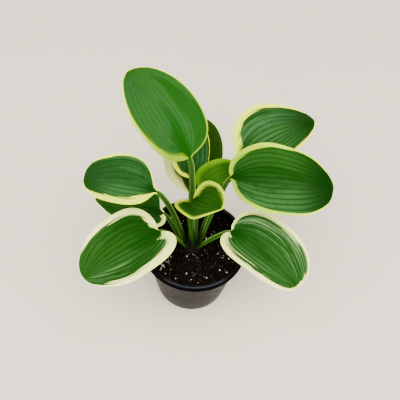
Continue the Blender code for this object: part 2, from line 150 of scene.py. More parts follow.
RIDGE_ROUNDING = 0.7             # under 1, so that ridges are broad and grooves are narrow
RIB_SWELL = 0.8                  # the lower, the sooner ribs reach their full depth
RIB_FADE = (0.50, 0.95)          # along the blade
EDGE_THINS = (0.85, 1.0)         # from the midrib to the margin
EDGE_THICKNESS = 0.2             # of the blade's thickness, at its very margin

# Stalk, and the midrib that it becomes under the blade.
FOOT_RADIUS = 0.0017
FOOT_SHARE = 0.4                 # share of the stalk over which it reaches its full radius
STALK_HANDLES = (0.35, 0.25)
STALK_ROWS = 40
BEND_LENGTH = 0.008              # the stalk bends into the midrib over this length
MIDRIB_SHARE = 0.72              # share of the blade that its midrib stands out from
RIB_ROWS = 30
RIB_START = 0.007
RIB_END_RADIUS = 0.0006
RIB_SINK = 0.0002
CHANNEL_OPENS = (0.02, 0.25)     # along the stalk
CHANNEL_CLOSES = 0.08            # along the blade
CHANNEL_EDGE = 0.35              # height of the channel's edges over the stalk's axis, in radii
CHANNEL_DEPTH = 1.15             # in radii
SPREAD_ENDS = (0.5, 1.0)         # along the stalk: broader than deep until the first, round at the second
WING_AT = 0.50                   # height of the pale edges, in radii
WING_STRENGTH = 1.2
WING_FADE = 4.0

# Where the looks of a blade start and end, over its length or over the width of a half.
GROOVE_STARTS = (0.0, 0.12)
GROOVE_ENDS = (0.80, 1.0)
HEART_ENDS = (0.12, 0.60)
HEART_WIDTH = (0.4, 1.0)
# Painted sheen, lightening the outer green.
SHEEN_SPLIT = (-0.2, 0.2)
SHEEN_STARTS = (0.15, 0.55)
SHEEN_ENDS = (0.85, 1.0)
SHEEN_OUTWARDS = 0.4             # how much sooner it starts at the margin than at the midrib
# Painted shade towards the tip.
TIP_SHADE_FALLS = (0.55, 0.95)
TIP_SHADE_OUTWARDS = 0.1
STREAK_STARTS = (0.30, 0.50)
SEED_STEP = 3.7                  # between the patterns of two leaves


@dataclass
class Leaf:
    """One leaf. Left and right are as seen from the stalk, looking along the midrib."""

    name: str
    foot: tuple              # x and y where the stalk leaves the crown
    joint: tuple             # where the stalk meets the blade
    length: float            # of the midrib
    halves: tuple            # width of the left and of the right half
    heading: float           # of the midrib at the joint, anticlockwise from +X
    rise: float              # slope of the midrib at the joint
    droop: float             # how much of that slope is lost by the tip
    margins: tuple           # width in mm of each half's pale margin, at the places of MARGIN_AT
    sweep: float = 0.0       # turn of the heading by the tip
    roll: float = 0.0        # about the midrib, left half up
    cup: tuple = (12.0, 12.0)      # how far each half curls up towards its margin
    lobes: tuple = (0.03, 0.03)    # how far each half reaches back past the joint
    belly: tuple = (0.40, 0.40)    # where along the midrib each half is widest
    blunt: tuple = (0.50, 0.50)    # fullness of each half at the tip
    wave: float = 0.0015     # height of the waves along the margin
    waves: float = 1.6       # number of them
    phase: float = 0.0       # how far they are moved along the blade, in waves
    ribbing: float = 1.0     # share of the full depth of its ribs
    stalk: float = 0.0022    # radius of the stalk at the blade
    bow: float = 0.25        # how upright the stalk leaves the crown
    knee: float = 0.6        # how far the stalk turns towards the midrib before the joint
    green: str = "mid"       # name in GREENS
    pale: str = "cream"      # name in PALES
    feather: float = 0.35    # how ragged the border of the pale margin is
    streaks: tuple = (0.0, 0.0)    # strength of pale streaks in the left and in the right half
    painted_sheen: tuple = (0.4, 0.4)      # how far painted sheen lightens the outer green of each half
    shift: float = 0.0       # moves the pattern on
    soft: float = 0.08       # how blurred the border of the pale margin is
    dusk: float = 0.0        # how much painted shade darkens the green towards the tip


LEAVES = (
    Leaf("leaf_back_left", foot=(-0.004, 0.002), joint=(-0.012, 0.040, 0.185), length=0.122,
         halves=(0.041, 0.038), heading=129, sweep=5, rise=36, droop=36, roll=2, cup=(10, 14),
         lobes=(0.0, -0.02), belly=(0.44, 0.38), blunt=(0.28, 0.70), wave=0.0012, ribbing=0.4,
         stalk=0.0031, green="fresh", pale="lime", margins=((8.5, 6.5, 2.4, 1.2), (1.5, 1.5, 1.5, 1.0)),
         feather=0.2, soft=0.3, streaks=(0.0, 0.6), painted_sheen=(1.0, 0.9), dusk=0.1, shift=5.0),
    Leaf("leaf_back_right", foot=(0.004, 0.007), joint=(0.039, 0.071, 0.150), length=0.109,
         halves=(0.042, 0.032), heading=33, rise=33, droop=42, roll=21, cup=(10, 30),
         lobes=(-0.06, -0.02), blunt=(0.15, 0.25), wave=0.0030, phase=0.55, ribbing=1.1, stalk=0.0026,
         green="mid", pale="yellow", margins=((10.0, 9.0, 4.5, 0.1), (3.0, 4.0, 3.5, 0.8)), feather=0.25,
         soft=0.12, streaks=(1.0, 0.0), painted_sheen=(1.0, 0.7), dusk=0.8, shift=2.1),
    Leaf("leaf_right", foot=(0.006, 0.001), joint=(0.032, 0.036, 0.165), length=0.114,
         halves=(0.036, 0.041), heading=-4, sweep=10, rise=18, droop=40, roll=24, cup=(14, 4),
         lobes=(0.02, -0.02), belly=(0.38, 0.55), blunt=(0.35, 0.62), wave=0.0026, waves=2.2, phase=0.59,
         ribbing=1.3, stalk=0.0028, knee=0.3, green="mid", pale="lemon",
         margins=((3.0, 6.5, 2.0, 0.4), (4.0, 4.5, 2.5, 0.3)), feather=0.3, painted_sheen=(0.2, 0.9), dusk=0.9,
         shift=2.9),
    Leaf("leaf_front_right", foot=(0.004, -0.005), joint=(0.039, -0.002, 0.120), length=0.094,
         halves=(0.038, 0.030), heading=-30, sweep=-14, rise=10, droop=34, roll=16, cup=(2, 20),
         lobes=(0.04, 0.07), blunt=(0.75, 0.62), wave=0.0015, phase=0.1, ribbing=0.6, stalk=0.0024,
         bow=0.8, knee=0.3, green="light", pale="cream",
         margins=((2.0, 4.5, 5.5, 2.5), (7.0, 8.0, 6.5, 2.5)), feather=0.8, streaks=(1.0, 0.3), shift=2.3),
    Leaf("leaf_front_left", foot=(-0.008, -0.005), joint=(-0.039, -0.014, 0.125), length=0.092,
         halves=(0.037, 0.039), heading=-142, rise=2, droop=24, roll=-10, cup=(8, 8), lobes=(0.14, 0.03),
         belly=(0.46, 0.34), blunt=(0.45, 0.62), wave=0.0012, phase=0.7, stalk=0.0026, bow=0.8,
         green="light", pale="cream", margins=((11.0, 9.5, 5.5, 0.5), (8.0, 8.0, 5.0, 0.5)), feather=0.6,
         soft=0.12, streaks=(0.6, 0.12), painted_sheen=(0.25, 0.1), shift=0.9),
    Leaf("leaf_left", foot=(-0.010, 0.005), joint=(-0.042, 0.007, 0.165), length=0.080,
         halves=(0.026, 0.031), heading=176, rise=16, droop=36, roll=-21, cup=(34, 16),
         lobes=(-0.06, -0.07), belly=(0.50, 0.50), blunt=(0.30, 0.70), wave=0.0020, phase=0.2,
         ribbing=0.7, stalk=0.0027, bow=0.2, green="blue", pale="yellow",
         margins=((6.0, 10.0, 7.5, 1.0), (1.8, 1.2, 2.4, 0.2)), feather=0.4, streaks=(0.3, 0.0),
         painted_sheen=(0.9, 1.0), dusk=0.6, shift=1.0),
    Leaf("leaf_left_low", foot=(-0.011, -0.001), joint=(-0.037, 0.015, 0.118), length=0.084,
         halves=(0.026, 0.026), heading=170, rise=10, droop=30, roll=-16, cup=(10, 10),
         lobes=(0.07, -0.04), belly=(0.36, 0.36), blunt=(0.05, 0.25), wave=0.0010, ribbing=0.6,
         bow=0.0, margins=((8.0, 3.0, 1.5, 1.5), (3.0, 2.0, 1.5, 1.5))),
    Leaf("leaf_centre", foot=(-0.001, -0.003), joint=(-0.005, 0.003, 0.164), length=0.033,
         halves=(0.024, 0.0265), heading=-12, sweep=-13, rise=-2, droop=-10, roll=2, cup=(60, 15),
         lobes=(0.02, 0.43), belly=(0.55, 0.18), blunt=(0.46, 0.0), wave=0.0025, waves=0.7, phase=0.15,
         ribbing=0.5, stalk=0.0020, green="shade", pale="olive",
         margins=((3.0, 4.5, 4.0, 2.0), (4.2, 3.6, 2.6, 1.2)), feather=0.4, soft=0.4, painted_sheen=(0.0, 0.1)),
    Leaf("leaf_inner_right", foot=(0.0015, 0.003), joint=(0.0005, 0.027, 0.150), length=0.054,
         halves=(0.021, 0.0095), heading=39, rise=14, droop=15, roll=14, cup=(30, 30), lobes=(0.0, 0.0),
         wave=0.0008, ribbing=0.5, stalk=0.0018, knee=0.2, green="lime", pale="moss",
         margins=((5.0, 5.0, 4.0, 2.0), (0.8, 0.6, 0.6, 0.6)), feather=0.4, soft=0.95,
         painted_sheen=(0.1, 0.1), dusk=0.5),
    Leaf("leaf_shaded_back", foot=(0.0, 0.010), joint=(-0.010, 0.048, 0.115), length=0.098,
         halves=(0.035, 0.035), heading=91, rise=45, droop=40, cup=(14, 14), lobes=(-0.03, -0.03),
         belly=(0.50, 0.50), phase=0.4, ribbing=0.7, green="olive", pale="beige",
         margins=((12.0, 11.0, 7.5, 2.0), (0.8, 0.5, 0.4, 0.4)), feather=0.5, soft=0.2,
         painted_sheen=(0.0, 0.0)),
    Leaf("leaf_inner_back", foot=(-0.005, 0.009), joint=(-0.010, 0.050, 0.140), length=0.078,
         halves=(0.023, 0.023), heading=102, rise=50, droop=40, cup=(16, 16), lobes=(-0.02, -0.02),
         belly=(0.48, 0.48), wave=0.0010, ribbing=0.7, stalk=0.0018, green="blue", pale="yellow",
         margins=((4.5, 4.0, 3.0, 2.0), (0.6, 0.6, 0.6, 0.6)), streaks=(0.0, 0.6)),
)

GREENS = {                   # blade green, its deeper parts
    "fresh": ((0.0130, 0.0660, 0.0040), (0.0030, 0.0460, 0.0001)),
    "light": ((0.0085, 0.0445, 0.0020), (0.0024, 0.0310, 0.0001)),
    "mid": ((0.0105, 0.0550, 0.0026), (0.0022, 0.0260, 0.0001)),
    "blue": ((0.0124, 0.0670, 0.0074), (0.0022, 0.0250, 0.0008)),
    # painted shade: a darker copy of the green, for the cupped centre leaf
    "shade": ((0.0080, 0.0390, 0.0010), (0.0028, 0.0190, 0.0001)),
    "olive": ((0.0140, 0.0420, 0.0030), (0.0080, 0.0270, 0.0010)),
    "lime": ((0.0210, 0.0820, 0.0001), (0.0050, 0.0340, 0.0001)),
}
PALES = {                    # pale margin, its tint near the stalk, the tone next to the green, streaks
    "cream": ((0.86, 0.92, 0.26), (0.82, 0.90, 0.20), (0.130, 0.235, 0.065), (0.130, 0.245, 0.085)),
    "yellow": ((0.86, 0.92, 0.020), (0.70, 0.84, 0.006), (0.110, 0.200, 0.006), (0.050, 0.125, 0.045)),
    "lemon": ((0.62, 0.86, 0.004), (0.230, 0.380, 0.0001), (0.080, 0.150, 0.004), (0.040, 0.100, 0.010)),
    "lime": ((0.76, 0.92, 0.006), (0.170, 0.300, 0.0001), (0.050, 0.120, 0.001), (0.025, 0.088, 0.005)),
    "moss": ((0.09, 0.20, 0.001), (0.055, 0.150, 0.0001), (0.035, 0.100, 0.001), (0.025, 0.080, 0.001)),
    "olive": ((0.38, 0.52, 0.014), (0.26, 0.34, 0.002), (0.080, 0.130, 0.003), (0.030, 0.070, 0.002)),
    "beige": ((0.86, 0.90, 0.32), (0.74, 0.80, 0.22), (0.060, 0.070, 0.020), (0.030, 0.050, 0.010)),
}


# ---------------------------------------------------------------- settings

class PotSettings(bpy.types.PropertyGroup):
    """Sizes and finish of the nursery pot."""

    sides: bpy.props.IntProperty(name="Sides", description="Facets round the pot", default=144, min=24)
    lip_round: bpy.props.FloatProperty(name="Lip rounding", description="Radius of the rolled lip",
                                       default=0.0014, unit="LENGTH")
    colour: bpy.props.FloatVectorProperty(name="Plastic", description="Colour of the moulded plastic",
                                          subtype="COLOR", default=(0.003, 0.003, 0.004))
    roughness: bpy.props.FloatProperty(name="Roughness", description="0 is glossy, 1 is matt",
                                       default=0.30, subtype="FACTOR")


class SoilSettings(bpy.types.PropertyGroup):
    """Potting mix, its crumbs and its perlite."""

    lump: bpy.props.FloatProperty(name="Lump height", description="Height of the lumps of the surface",
                                  default=0.0012, unit="LENGTH")
    crumbs: bpy.props.IntProperty(name="Crumbs", description="Loose bits of bark and peat", default=1500)
    perlite: bpy.props.IntProperty(name="Perlite", description="White grains", default=300)
    colour: bpy.props.FloatVectorProperty(name="Mix", description="Colour of the moist mix",
                                          subtype="COLOR", default=(0.0022, 0.0015, 0.0010))
    perlite_colour: bpy.props.FloatVectorProperty(name="Perlite colour", description="Colour of the grains",
                                                  subtype="COLOR", default=(0.60, 0.54, 0.42))


class LeafSettings(bpy.types.PropertyGroup):
    """Blades and stalks."""

    thickness: bpy.props.FloatProperty(name="Blade thickness", description="Thickness of the blade",
                                       default=0.0006, unit="LENGTH")
    mesh_size: bpy.props.FloatProperty(name="Mesh size", description="Length of one face of a blade",
                                       default=0.0009, unit="LENGTH")
    vein_spacing: bpy.props.FloatProperty(name="Vein spacing", default=0.0030, unit="LENGTH",
                                          description="Half the distance between two grooves")
    vein_relief: bpy.props.FloatProperty(name="Vein relief", default=0.00055, unit="LENGTH",
                                         description="Half the depth of the grooves at full ribbing")
    stalk_sides: bpy.props.IntProperty(name="Stalk sides", description="Facets round a stalk", default=32)
    stalk_spread: bpy.props.FloatProperty(name="Stalk spread", default=1.35, subtype="FACTOR",
                                          description="Width of the stalk over its depth")
    stalk_colour: bpy.props.FloatVectorProperty(name="Stalk", description="Green of the stalks",
                                                subtype="COLOR", default=(0.0120, 0.0465, 0.0022))
    wing_colour: bpy.props.FloatVectorProperty(name="Stalk edges", description="Pale edges of the channel",
                                               subtype="COLOR", default=(0.110, 0.230, 0.036))


class StageSettings(bpy.types.PropertyGroup):
    """Floor, lights and camera."""

    floor_colour: bpy.props.FloatVectorProperty(name="Floor", description="Colour of the plain floor",
                                                subtype="COLOR", default=(0.70, 0.61, 0.48))
    aim: bpy.props.FloatVectorProperty(name="Camera aim", description="Point on the floor that is centred",
                                       subtype="TRANSLATION", unit="LENGTH", default=(0.0021, 0.1289, 0.0))
    distance: bpy.props.FloatProperty(name="Camera distance", description="From the camera to its aim",
                                      default=0.719, unit="LENGTH")
    elevation: bpy.props.FloatProperty(name="Camera elevation", description="Angle above the horizon",
                                       default=math.radians(52.4), subtype="ANGLE", unit="ROTATION")
    camera_roll: bpy.props.FloatProperty(name="Camera roll", description="Turn about the line of sight",
                                         default=math.radians(5.4), subtype="ANGLE", unit="ROTATION")
    lens: bpy.props.FloatProperty(name="Lens", description="Focal length in mm", default=45.0,
                                  unit="CAMERA")
    ambient: bpy.props.FloatProperty(name="Ambient", description="Strength of the light from all round",
                                     default=1.3)
    softbox: bpy.props.FloatProperty(name="Softbox", description="Power of the large softbox",
                                     default=64.0, subtype="POWER", unit="POWER")


# ---------------------------------------------------------------- modelling helpers

def deselect():
    """Leave nothing selected, in object mode."""
    if bpy.context.object and bpy.context.object.mode != "OBJECT":
        bpy.ops.object.mode_set(mode="OBJECT")
    bpy.ops.object.select_all(action="DESELECT")


def pick(item, *others):
    """Select the pieces, the first one active."""
    deselect()
    for other in (item, *others):
        other.select_set(True)
    bpy.context.view_layer.objects.active = item


def add_object(name, data):
    """Put a new object into the scene."""
    item = bpy.data.objects.new(name, data)
    bpy.context.collection.objects.link(item)
    return item


def merge_doubles(item):
    """Close seams and poles."""
    pick(item)
    bpy.ops.object.mode_set(mode="EDIT")
    bpy.ops.mesh.select_all(action="SELECT")
    bpy.ops.mesh.remove_doubles(threshold=MERGE_DISTANCE)
    bpy.ops.object.mode_set(mode="OBJECT")


def face_outwards(item):
    """Turn every face of a closed body outwards."""
    pick(item)
    bpy.ops.object.mode_set(mode="EDIT")
    bpy.ops.mesh.select_all(action="SELECT")
    bpy.ops.mesh.normals_make_consistent(inside=False)
    bpy.ops.object.mode_set(mode="OBJECT")


def apply_all(item):
    """Apply every modifier."""
    pick(item)
    for modifier in list(item.modifiers):
        bpy.ops.object.modifier_apply(modifier=modifier.name)


def cut(item, cutters):
    """Cut the cutters out of the piece and remove them."""
    for cutter in cutters:
        modifier = item.modifiers.new("Cut", "BOOLEAN")
        modifier.operation = "DIFFERENCE"
        modifier.object = cutter
        modifier.solver = "EXACT"
    apply_all(item)
    for cutter in cutters:
        bpy.data.objects.remove(cutter, do_unlink=True)


def smooth(item, angle):
    """Smooth shading, with edges sharper than the angle kept."""
    pick(item)
    bpy.ops.object.shade_smooth_by_angle(angle=math.radians(angle))


def settle(item, name, *nodes):
    """Name the finished piece, let it ride on the pot's body and stand for its solids."""
    item.name = name
    item.data.name = name
    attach(item, "root")
    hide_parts(*nodes)
    deselect()


def turned_shell(outline, facets, centre=(0.0, 0.0)):
    """A closed turned body: a disc extruded and resized along an outline of (radius, height)."""
    deselect()
    radius, height = outline[0]
    bpy.ops.mesh.primitive_circle_add(vertices=facets, radius=radius, fill_type="NGON",
                                      location=(*centre, height))
    item = bpy.context.object
    bpy.ops.object.transform_apply(location=True, rotation=True, scale=True)
    bpy.ops.object.mode_set(mode="EDIT")
    bpy.ops.mesh.select_all(action="SELECT")
    for next_radius, next_height in outline[1:]:
        bpy.ops.mesh.extrude_region_move(
            TRANSFORM_OT_translate={"value": (0.0, 0.0, next_height - height)})
        share = next_radius / radius
        bpy.ops.transform.resize(value=(share, share, 1.0), center_override=(*centre, next_height))
        radius, height = next_radius, next_height
    bpy.ops.object.mode_set(mode="OBJECT")
    face_outwards(item)
    return item


def grid_sheet(across, along):
    """A flat grid with its UV map, and where its vertices lie: across from -1 to 1, along from 0 to 1."""
    deselect()
    bpy.ops.mesh.primitive_grid_add(x_subdivisions=across, y_subdivisions=along, size=2.0, calc_uvs=True)
    sheet = bpy.context.object
    flat = np.empty(len(sheet.data.vertices) * 3)
    sheet.data.vertices.foreach_get("co", flat)
    flat = flat.reshape(-1, 3)
    return sheet, flat[:, 0], (flat[:, 1] + 1) / 2


def place_vertices(item, points):
    """Move the piece's vertices to these points."""
    item.data.vertices.foreach_set("co", np.asarray(points, float).ravel())
    item.data.update()


def store(item, **looks):
    """Keep named numbers for each vertex, which the materials read."""
    for name, values in looks.items():
        layer = item.data.attributes.new(name, "FLOAT", "POINT")
        layer.data.foreach_set("value", np.asarray(values, float))


def smooth_step(low, high, value):
    """Smooth step from 0 to 1."""
    share = np.clip((value - low) / (high - low), 0, 1)
    return share * share * (3 - 2 * share)


# ---------------------------------------------------------------- material helpers

COLOUR_SOCKET = "NodeSocketColor"
NUMBER_SOCKET = "NodeSocketFloat"
COLOUR_MIX_INPUTS = (0, 6, 7)    # share, first and second colour of a Mix node
COLOUR_MIX_OUTPUT = 2


class Nodes:
    """Adds nodes to the tree of a material or of a group."""

    def __init__(self, tree):
        self.tree = tree

    def feed(self, target, value):
        """Link an output to the socket, or store a plain value in it."""
        if isinstance(value, bpy.types.NodeSocket):
            self.tree.links.new(value, target)
        elif target.type == "RGBA":
            target.default_value = (*value, 1.0)
        else:
            target.default_value = value

    def fill(self, node, **values):
        """Feed the inputs of a node by their labels, with an underscore for each space."""
        for label, value in values.items():
            self.feed(node.inputs[label.replace("_", " ")], value)

    def maths(self, operation, a, b=0.0):
        """One Math node."""
        made = self.tree.nodes.new("ShaderNodeMath")
        made.operation = operation
        self.feed(made.inputs[0], a)
        self.feed(made.inputs[1], b)
        return made.outputs[0]

    def plus(self, a, b):
        """Sum of two values."""
        return self.maths("ADD", a, b)

    def minus(self, a, b):
        """Difference of two values."""
        return self.maths("SUBTRACT", a, b)

    def times(self, a, b):
        """Product of two values."""
        return self.maths("MULTIPLY", a, b)

    def greater(self, a, b):
        """The greater of two values."""
        return self.maths("MAXIMUM", a, b)

    def ramp(self, value, low, high, to_low=0.0, to_high=1.0):
        """Smooth step of a value between two limits."""
        made = self.tree.nodes.new("ShaderNodeMapRange")
        made.interpolation_type = "SMOOTHSTEP"
        self.fill(made, Value=value, From_Min=low, From_Max=high, To_Min=to_low, To_Max=to_high)
        return made.outputs["Result"]

    def mixed(self, share, first, second, blend="MIX"):
        """Two colours mixed."""
        made = self.tree.nodes.new("ShaderNodeMix")
        made.data_type = "RGBA"
        made.blend_type = blend
        for index, value in zip(COLOUR_MIX_INPUTS, (share, first, second)):
            self.feed(made.inputs[index], value)
        return made.outputs[COLOUR_MIX_OUTPUT]

    def vector(self, x, y, z):
        """Three numbers as one vector."""
        made = self.tree.nodes.new("ShaderNodeCombineXYZ")
        self.fill(made, X=x, Y=y, Z=z)
        return made.outputs["Vector"]

    def height_of(self, vector):
        """The third number of a vector."""
        made = self.tree.nodes.new("ShaderNodeSeparateXYZ")
        self.fill(made, Vector=vector)
        return made.outputs["Z"]

    def noise(self, place, scale, detail=2.0, roughness=0.5):
        """Noise from 0 to 1."""
        made = self.tree.nodes.new("ShaderNodeTexNoise")
        self.fill(made, Vector=place, Scale=scale, Detail=detail, Roughness=roughness)
        return made.outputs["Fac"]

    def attribute(self, name):
        """A number kept for each vertex."""
        made = self.tree.nodes.new("ShaderNodeAttribute")
        made.attribute_name = name
        return made.outputs["Fac"]

    def place(self):
        """Object coordinates, which stay with the piece."""
        return self.tree.nodes.new("ShaderNodeTexCoord").outputs["Object"]

    def stretched_place(self, scale):
        """Object coordinates with a scale of their own along each axis."""
        made = self.tree.nodes.new("ShaderNodeMapping")
        self.fill(made, Vector=self.place(), Scale=scale)
        return made.outputs["Vector"]

    def bump(self, height, strength, distance):
        """A Bump node fed by a height."""
        made = self.tree.nodes.new("ShaderNodeBump")
        self.fill(made, Height=height, Strength=strength, Distance=distance)
        return made.outputs["Normal"]

    def placed(self, name, build, **values):
        """A shared group placed with its own values, and what it puts out. Its first use builds it."""
        made = self.tree.nodes.new("ShaderNodeGroup")
        made.node_tree = bpy.data.node_groups.get(name) or build(name)
        self.fill(made, **values)
        return made.outputs


def new_material(name):
    """A material, with the maker of its nodes and its Principled shader."""
    material = bpy.data.materials.new(name)
    material.use_nodes = True
    return material, Nodes(material.node_tree), material.node_tree.nodes["Principled BSDF"]


def new_group(name, inputs, outputs):
    """An empty node group: the maker of its nodes, what it is given, and the node that it puts out by."""
    group = bpy.data.node_groups.new(name, "ShaderNodeTree")
    for in_out, sockets in (("INPUT", inputs), ("OUTPUT", outputs)):
        for label, kind in sockets:
            group.interface.new_socket(name=label, in_out=in_out, socket_type=kind)
    return Nodes(group), group.nodes.new("NodeGroupInput").outputs, group.nodes.new("NodeGroupOutput")


def blend_colours(first, second, share):
    """Mix two plain colours."""
    return tuple(a + (b - a) * share for a, b in zip(first, second))


# ---------------------------------------------------------------- materials of the leaves

# Grains along the veins: fineness across them, fineness along them, roughness.
FLAMES = (1.0, 2.4, 0.5)
FINE_GRAIN = (2.6, 3.6, 0.6)
GLEAMS = (0.16, 1.5, 0.4)
PALE_THREADS = (1.4, 2.2, 0.5)
MOTTLE = (170.0, 4.0, 0.6)           # scale, detail and roughness of blotches over the blade
CELLS = (1400.0, 2.0)                # scale and detail of the skin's cells

# Border of the pale margin. Places count inwards from the edge, over the margin's width. Here and below,
# a pair holds the limits of a smooth step, and a second pair what it runs from and to.
BORDER_AT = 1.02
FLAME_LENGTH = 3.0
FINE_LENGTH = 1.6
RAGGED_STARTS = (0.15, 0.45)         # over the blade's length
HALF_TONE_STARTS = (0.60, 0.84)
HALF_TONE_GRAIN = (0.42, 0.60)
MARGIN_LINES = (0.50, 0.66)          # faint lines of the half tone in the pale margin
MARGIN_LINE_SHARE = 0.16
YELLOWS = (0.35, 0.85)               # from the tint near the stalk to the full pale colour
YELLOWS_GRAIN = 0.3

# Layers of the green.
# Painted shade in the grooves and between the fine veins.
GROOVE_SIDES = (0.46, 0.05)
GROOVE_GRAIN = (0.30, 0.60, 0.35, 1.0)
GROOVE_SHARE = 0.9
GROOVE_TURNS = 0.5                   # half turns of a sine over one unit of vein: its zeros are the grooves
THREAD_TURNS = 1.5                   # and these are the grooves with two fine veins between them
THREAD_SIDES = (0.5, 0.0)
THREAD_SHARE = 0.35
# Painted sheen in blotches over the outer green.
SHEEN_MOTTLE = (0.30, 0.62, 0.35, 1.0)
# Painted highlight on the ridge tops.
CREST_SIDES = (0.35, 0.95)
CREST_GLEAMS = (0.44, 0.60)
STREAK_THREADS = (0.48, 0.57)
STREAK_GRAIN = (0.36, 0.60, 0.25, 1.0)
# Painted shade in patches along the veins.
SHADE_GLEAMS = (0.50, 0.36)
SHADE_SHARE = 0.6
SPECKLE_MOTTLE = (0.54, 0.68)
SPECKLE_SHARE = 0.30
# Painted shade towards the tip.
TIP_SHADE_SHARE = 0.5
TIP_SHADE_COLOUR = (0.0010, 0.0060, 0.0004)
BLADE_ROUGHNESS = (0.2, 0.8, 0.34, 0.46)
SKIN_SHARES = (0.7, 0.3)             # of the fine grain and of the cells in the skin's relief

# Other colours of a blade.
# Painted sheen.
SHEEN_COLOUR = (0.0300, 0.0900, 0.0300)
SHEEN_SHARE = 0.6
# Painted highlight on the ridge tops.
CREST_COLOUR = (0.0340, 0.1100, 0.0260)
CREST_SHARE = 0.8
UNDER_COLOURS = ((0.16, 0.27, 0.12), (0.10, 0.19, 0.07), (0.45, 0.52, 0.25))   # of green, deep and pale
UNDER_SHARES = (0.5, 0.5, 0.35)
UNDER_ROUGHNESS = 0.6

STALK_STRETCH = (900.0, 900.0, 60.0)
STALK_LINES = (0.35, 0.70)
STALK_LINE_COLOUR = (0.045, 0.120, 0.016)
STALK_LINE_SHARE = 0.35
STALK_SHADE = (0.0, 0.30, 0.28, 1.0)   # painted shade: darkest at the crown, and full colour before a third of its length


def variegation_group(name):
    """Green blade with a pale, feathered margin. The pattern follows the veins."""
    colours = ("Green", "Deep", "Sheen", "Crest", "Half tone", "Pale", "Tint", "Streak")
    inputs = [(label, COLOUR_SOCKET) for label in colours]
    inputs += [(label, NUMBER_SOCKET) for label in ("Feather", "Soft", "Seed")]
    outputs = (("Color", COLOUR_SOCKET), ("Roughness", NUMBER_SOCKET), ("Height", NUMBER_SOCKET))
    nodes, given, out = new_group(name, inputs, outputs)
    vein = nodes.attribute("vein")
    along = nodes.attribute("along")
    outer = nodes.attribute("outer")
    dusk = nodes.attribute("dusk")

    def grain(across, lengthwise, roughness):
        """Noise drawn out along the veins."""
        place = nodes.vector(nodes.times(vein, across), nodes.times(along, lengthwise), given["Seed"])
        return nodes.noise(place, scale=1.0, detail=3.0, roughness=roughness)

    def off_zero(turns):
        """0 on each vein of the kind and 1 midway to the next."""
        return nodes.maths("ABSOLUTE", nodes.maths("SINE", nodes.times(vein, math.pi * turns)))

    def moved(value, length):
        """How far a grain moves the border to and fro."""
        return nodes.times(nodes.minus(value, 0.5), length)

    flames = grain(*FLAMES)
    fine = grain(*FINE_GRAIN)
    gleam = grain(*GLEAMS)
    mottle = nodes.noise(nodes.place(), *MOTTLE)

    ragged = nodes.plus(moved(flames, FLAME_LENGTH), moved(fine, FINE_LENGTH))
    ragged = nodes.times(ragged, nodes.ramp(along, *RAGGED_STARTS))
    border = nodes.plus(nodes.attribute("pale_edge"), nodes.times(ragged, given["Feather"]))
    soft = given["Soft"]
    is_green = nodes.ramp(border, nodes.minus(BORDER_AT, soft), nodes.plus(BORDER_AT, soft))
    is_half = nodes.times(nodes.ramp(border, *HALF_TONE_STARTS), nodes.ramp(fine, *HALF_TONE_GRAIN))

    ridge = off_zero(GROOVE_TURNS)
    # Painted sheen on the outer green, and painted highlights on the ridge tops.
    painted_sheen = nodes.times(nodes.ramp(mottle, *SHEEN_MOTTLE), outer)
    crest = nodes.times(nodes.ramp(ridge, *CREST_SIDES), nodes.ramp(gleam, *CREST_GLEAMS))
    crest = nodes.times(crest, outer)
    streak = nodes.times(nodes.attribute("streak"), nodes.ramp(grain(*PALE_THREADS), *STREAK_THREADS))
    streak = nodes.times(streak, nodes.ramp(fine, *STREAK_GRAIN))
    # Painted shade: patches along the veins, and towards the tip.
    shade = nodes.greater(nodes.times(nodes.ramp(gleam, *SHADE_GLEAMS), SHADE_SHARE), dusk)
    # Painted shade in the grooves and between the fine veins.
    groove = nodes.times(nodes.ramp(ridge, *GROOVE_SIDES), nodes.attribute("groove"))
    groove = nodes.times(groove, nodes.ramp(fine, *GROOVE_GRAIN))
    thread = nodes.times(nodes.ramp(off_zero(THREAD_TURNS), *THREAD_SIDES), THREAD_SHARE)
    veins = nodes.plus(nodes.times(groove, GROOVE_SHARE), thread)
    speckle = nodes.times(nodes.ramp(mottle, *SPECKLE_MOTTLE), SPECKLE_SHARE)
    green = given["Green"]
    for share, colour in ((nodes.attribute("heart"), given["Deep"]), (painted_sheen, given["Sheen"]),
                          (crest, given["Crest"]), (streak, given["Streak"]), (shade, given["Deep"]),
                          (veins, given["Deep"]), (nodes.times(dusk, TIP_SHADE_SHARE), TIP_SHADE_COLOUR),
                          (speckle, given["Deep"])):
        green = nodes.mixed(share, green, colour)

    yellowing = nodes.ramp(nodes.plus(along, nodes.times(fine, YELLOWS_GRAIN)), *YELLOWS)
    margin_lines = nodes.times(nodes.ramp(fine, *MARGIN_LINES), MARGIN_LINE_SHARE)
    pale = nodes.mixed(yellowing, given["Tint"], given["Pale"])
    pale = nodes.mixed(nodes.greater(is_half, margin_lines), pale, given["Half tone"])

    cells = nodes.noise(nodes.place(), *CELLS)
    skin = nodes.plus(nodes.times(fine, SKIN_SHARES[0]), nodes.times(cells, SKIN_SHARES[1]))
    nodes.fill(out, Color=nodes.mixed(is_green, pale, green),
               Roughness=nodes.ramp(fine, *BLADE_ROUGHNESS), Height=skin)
    return nodes.tree


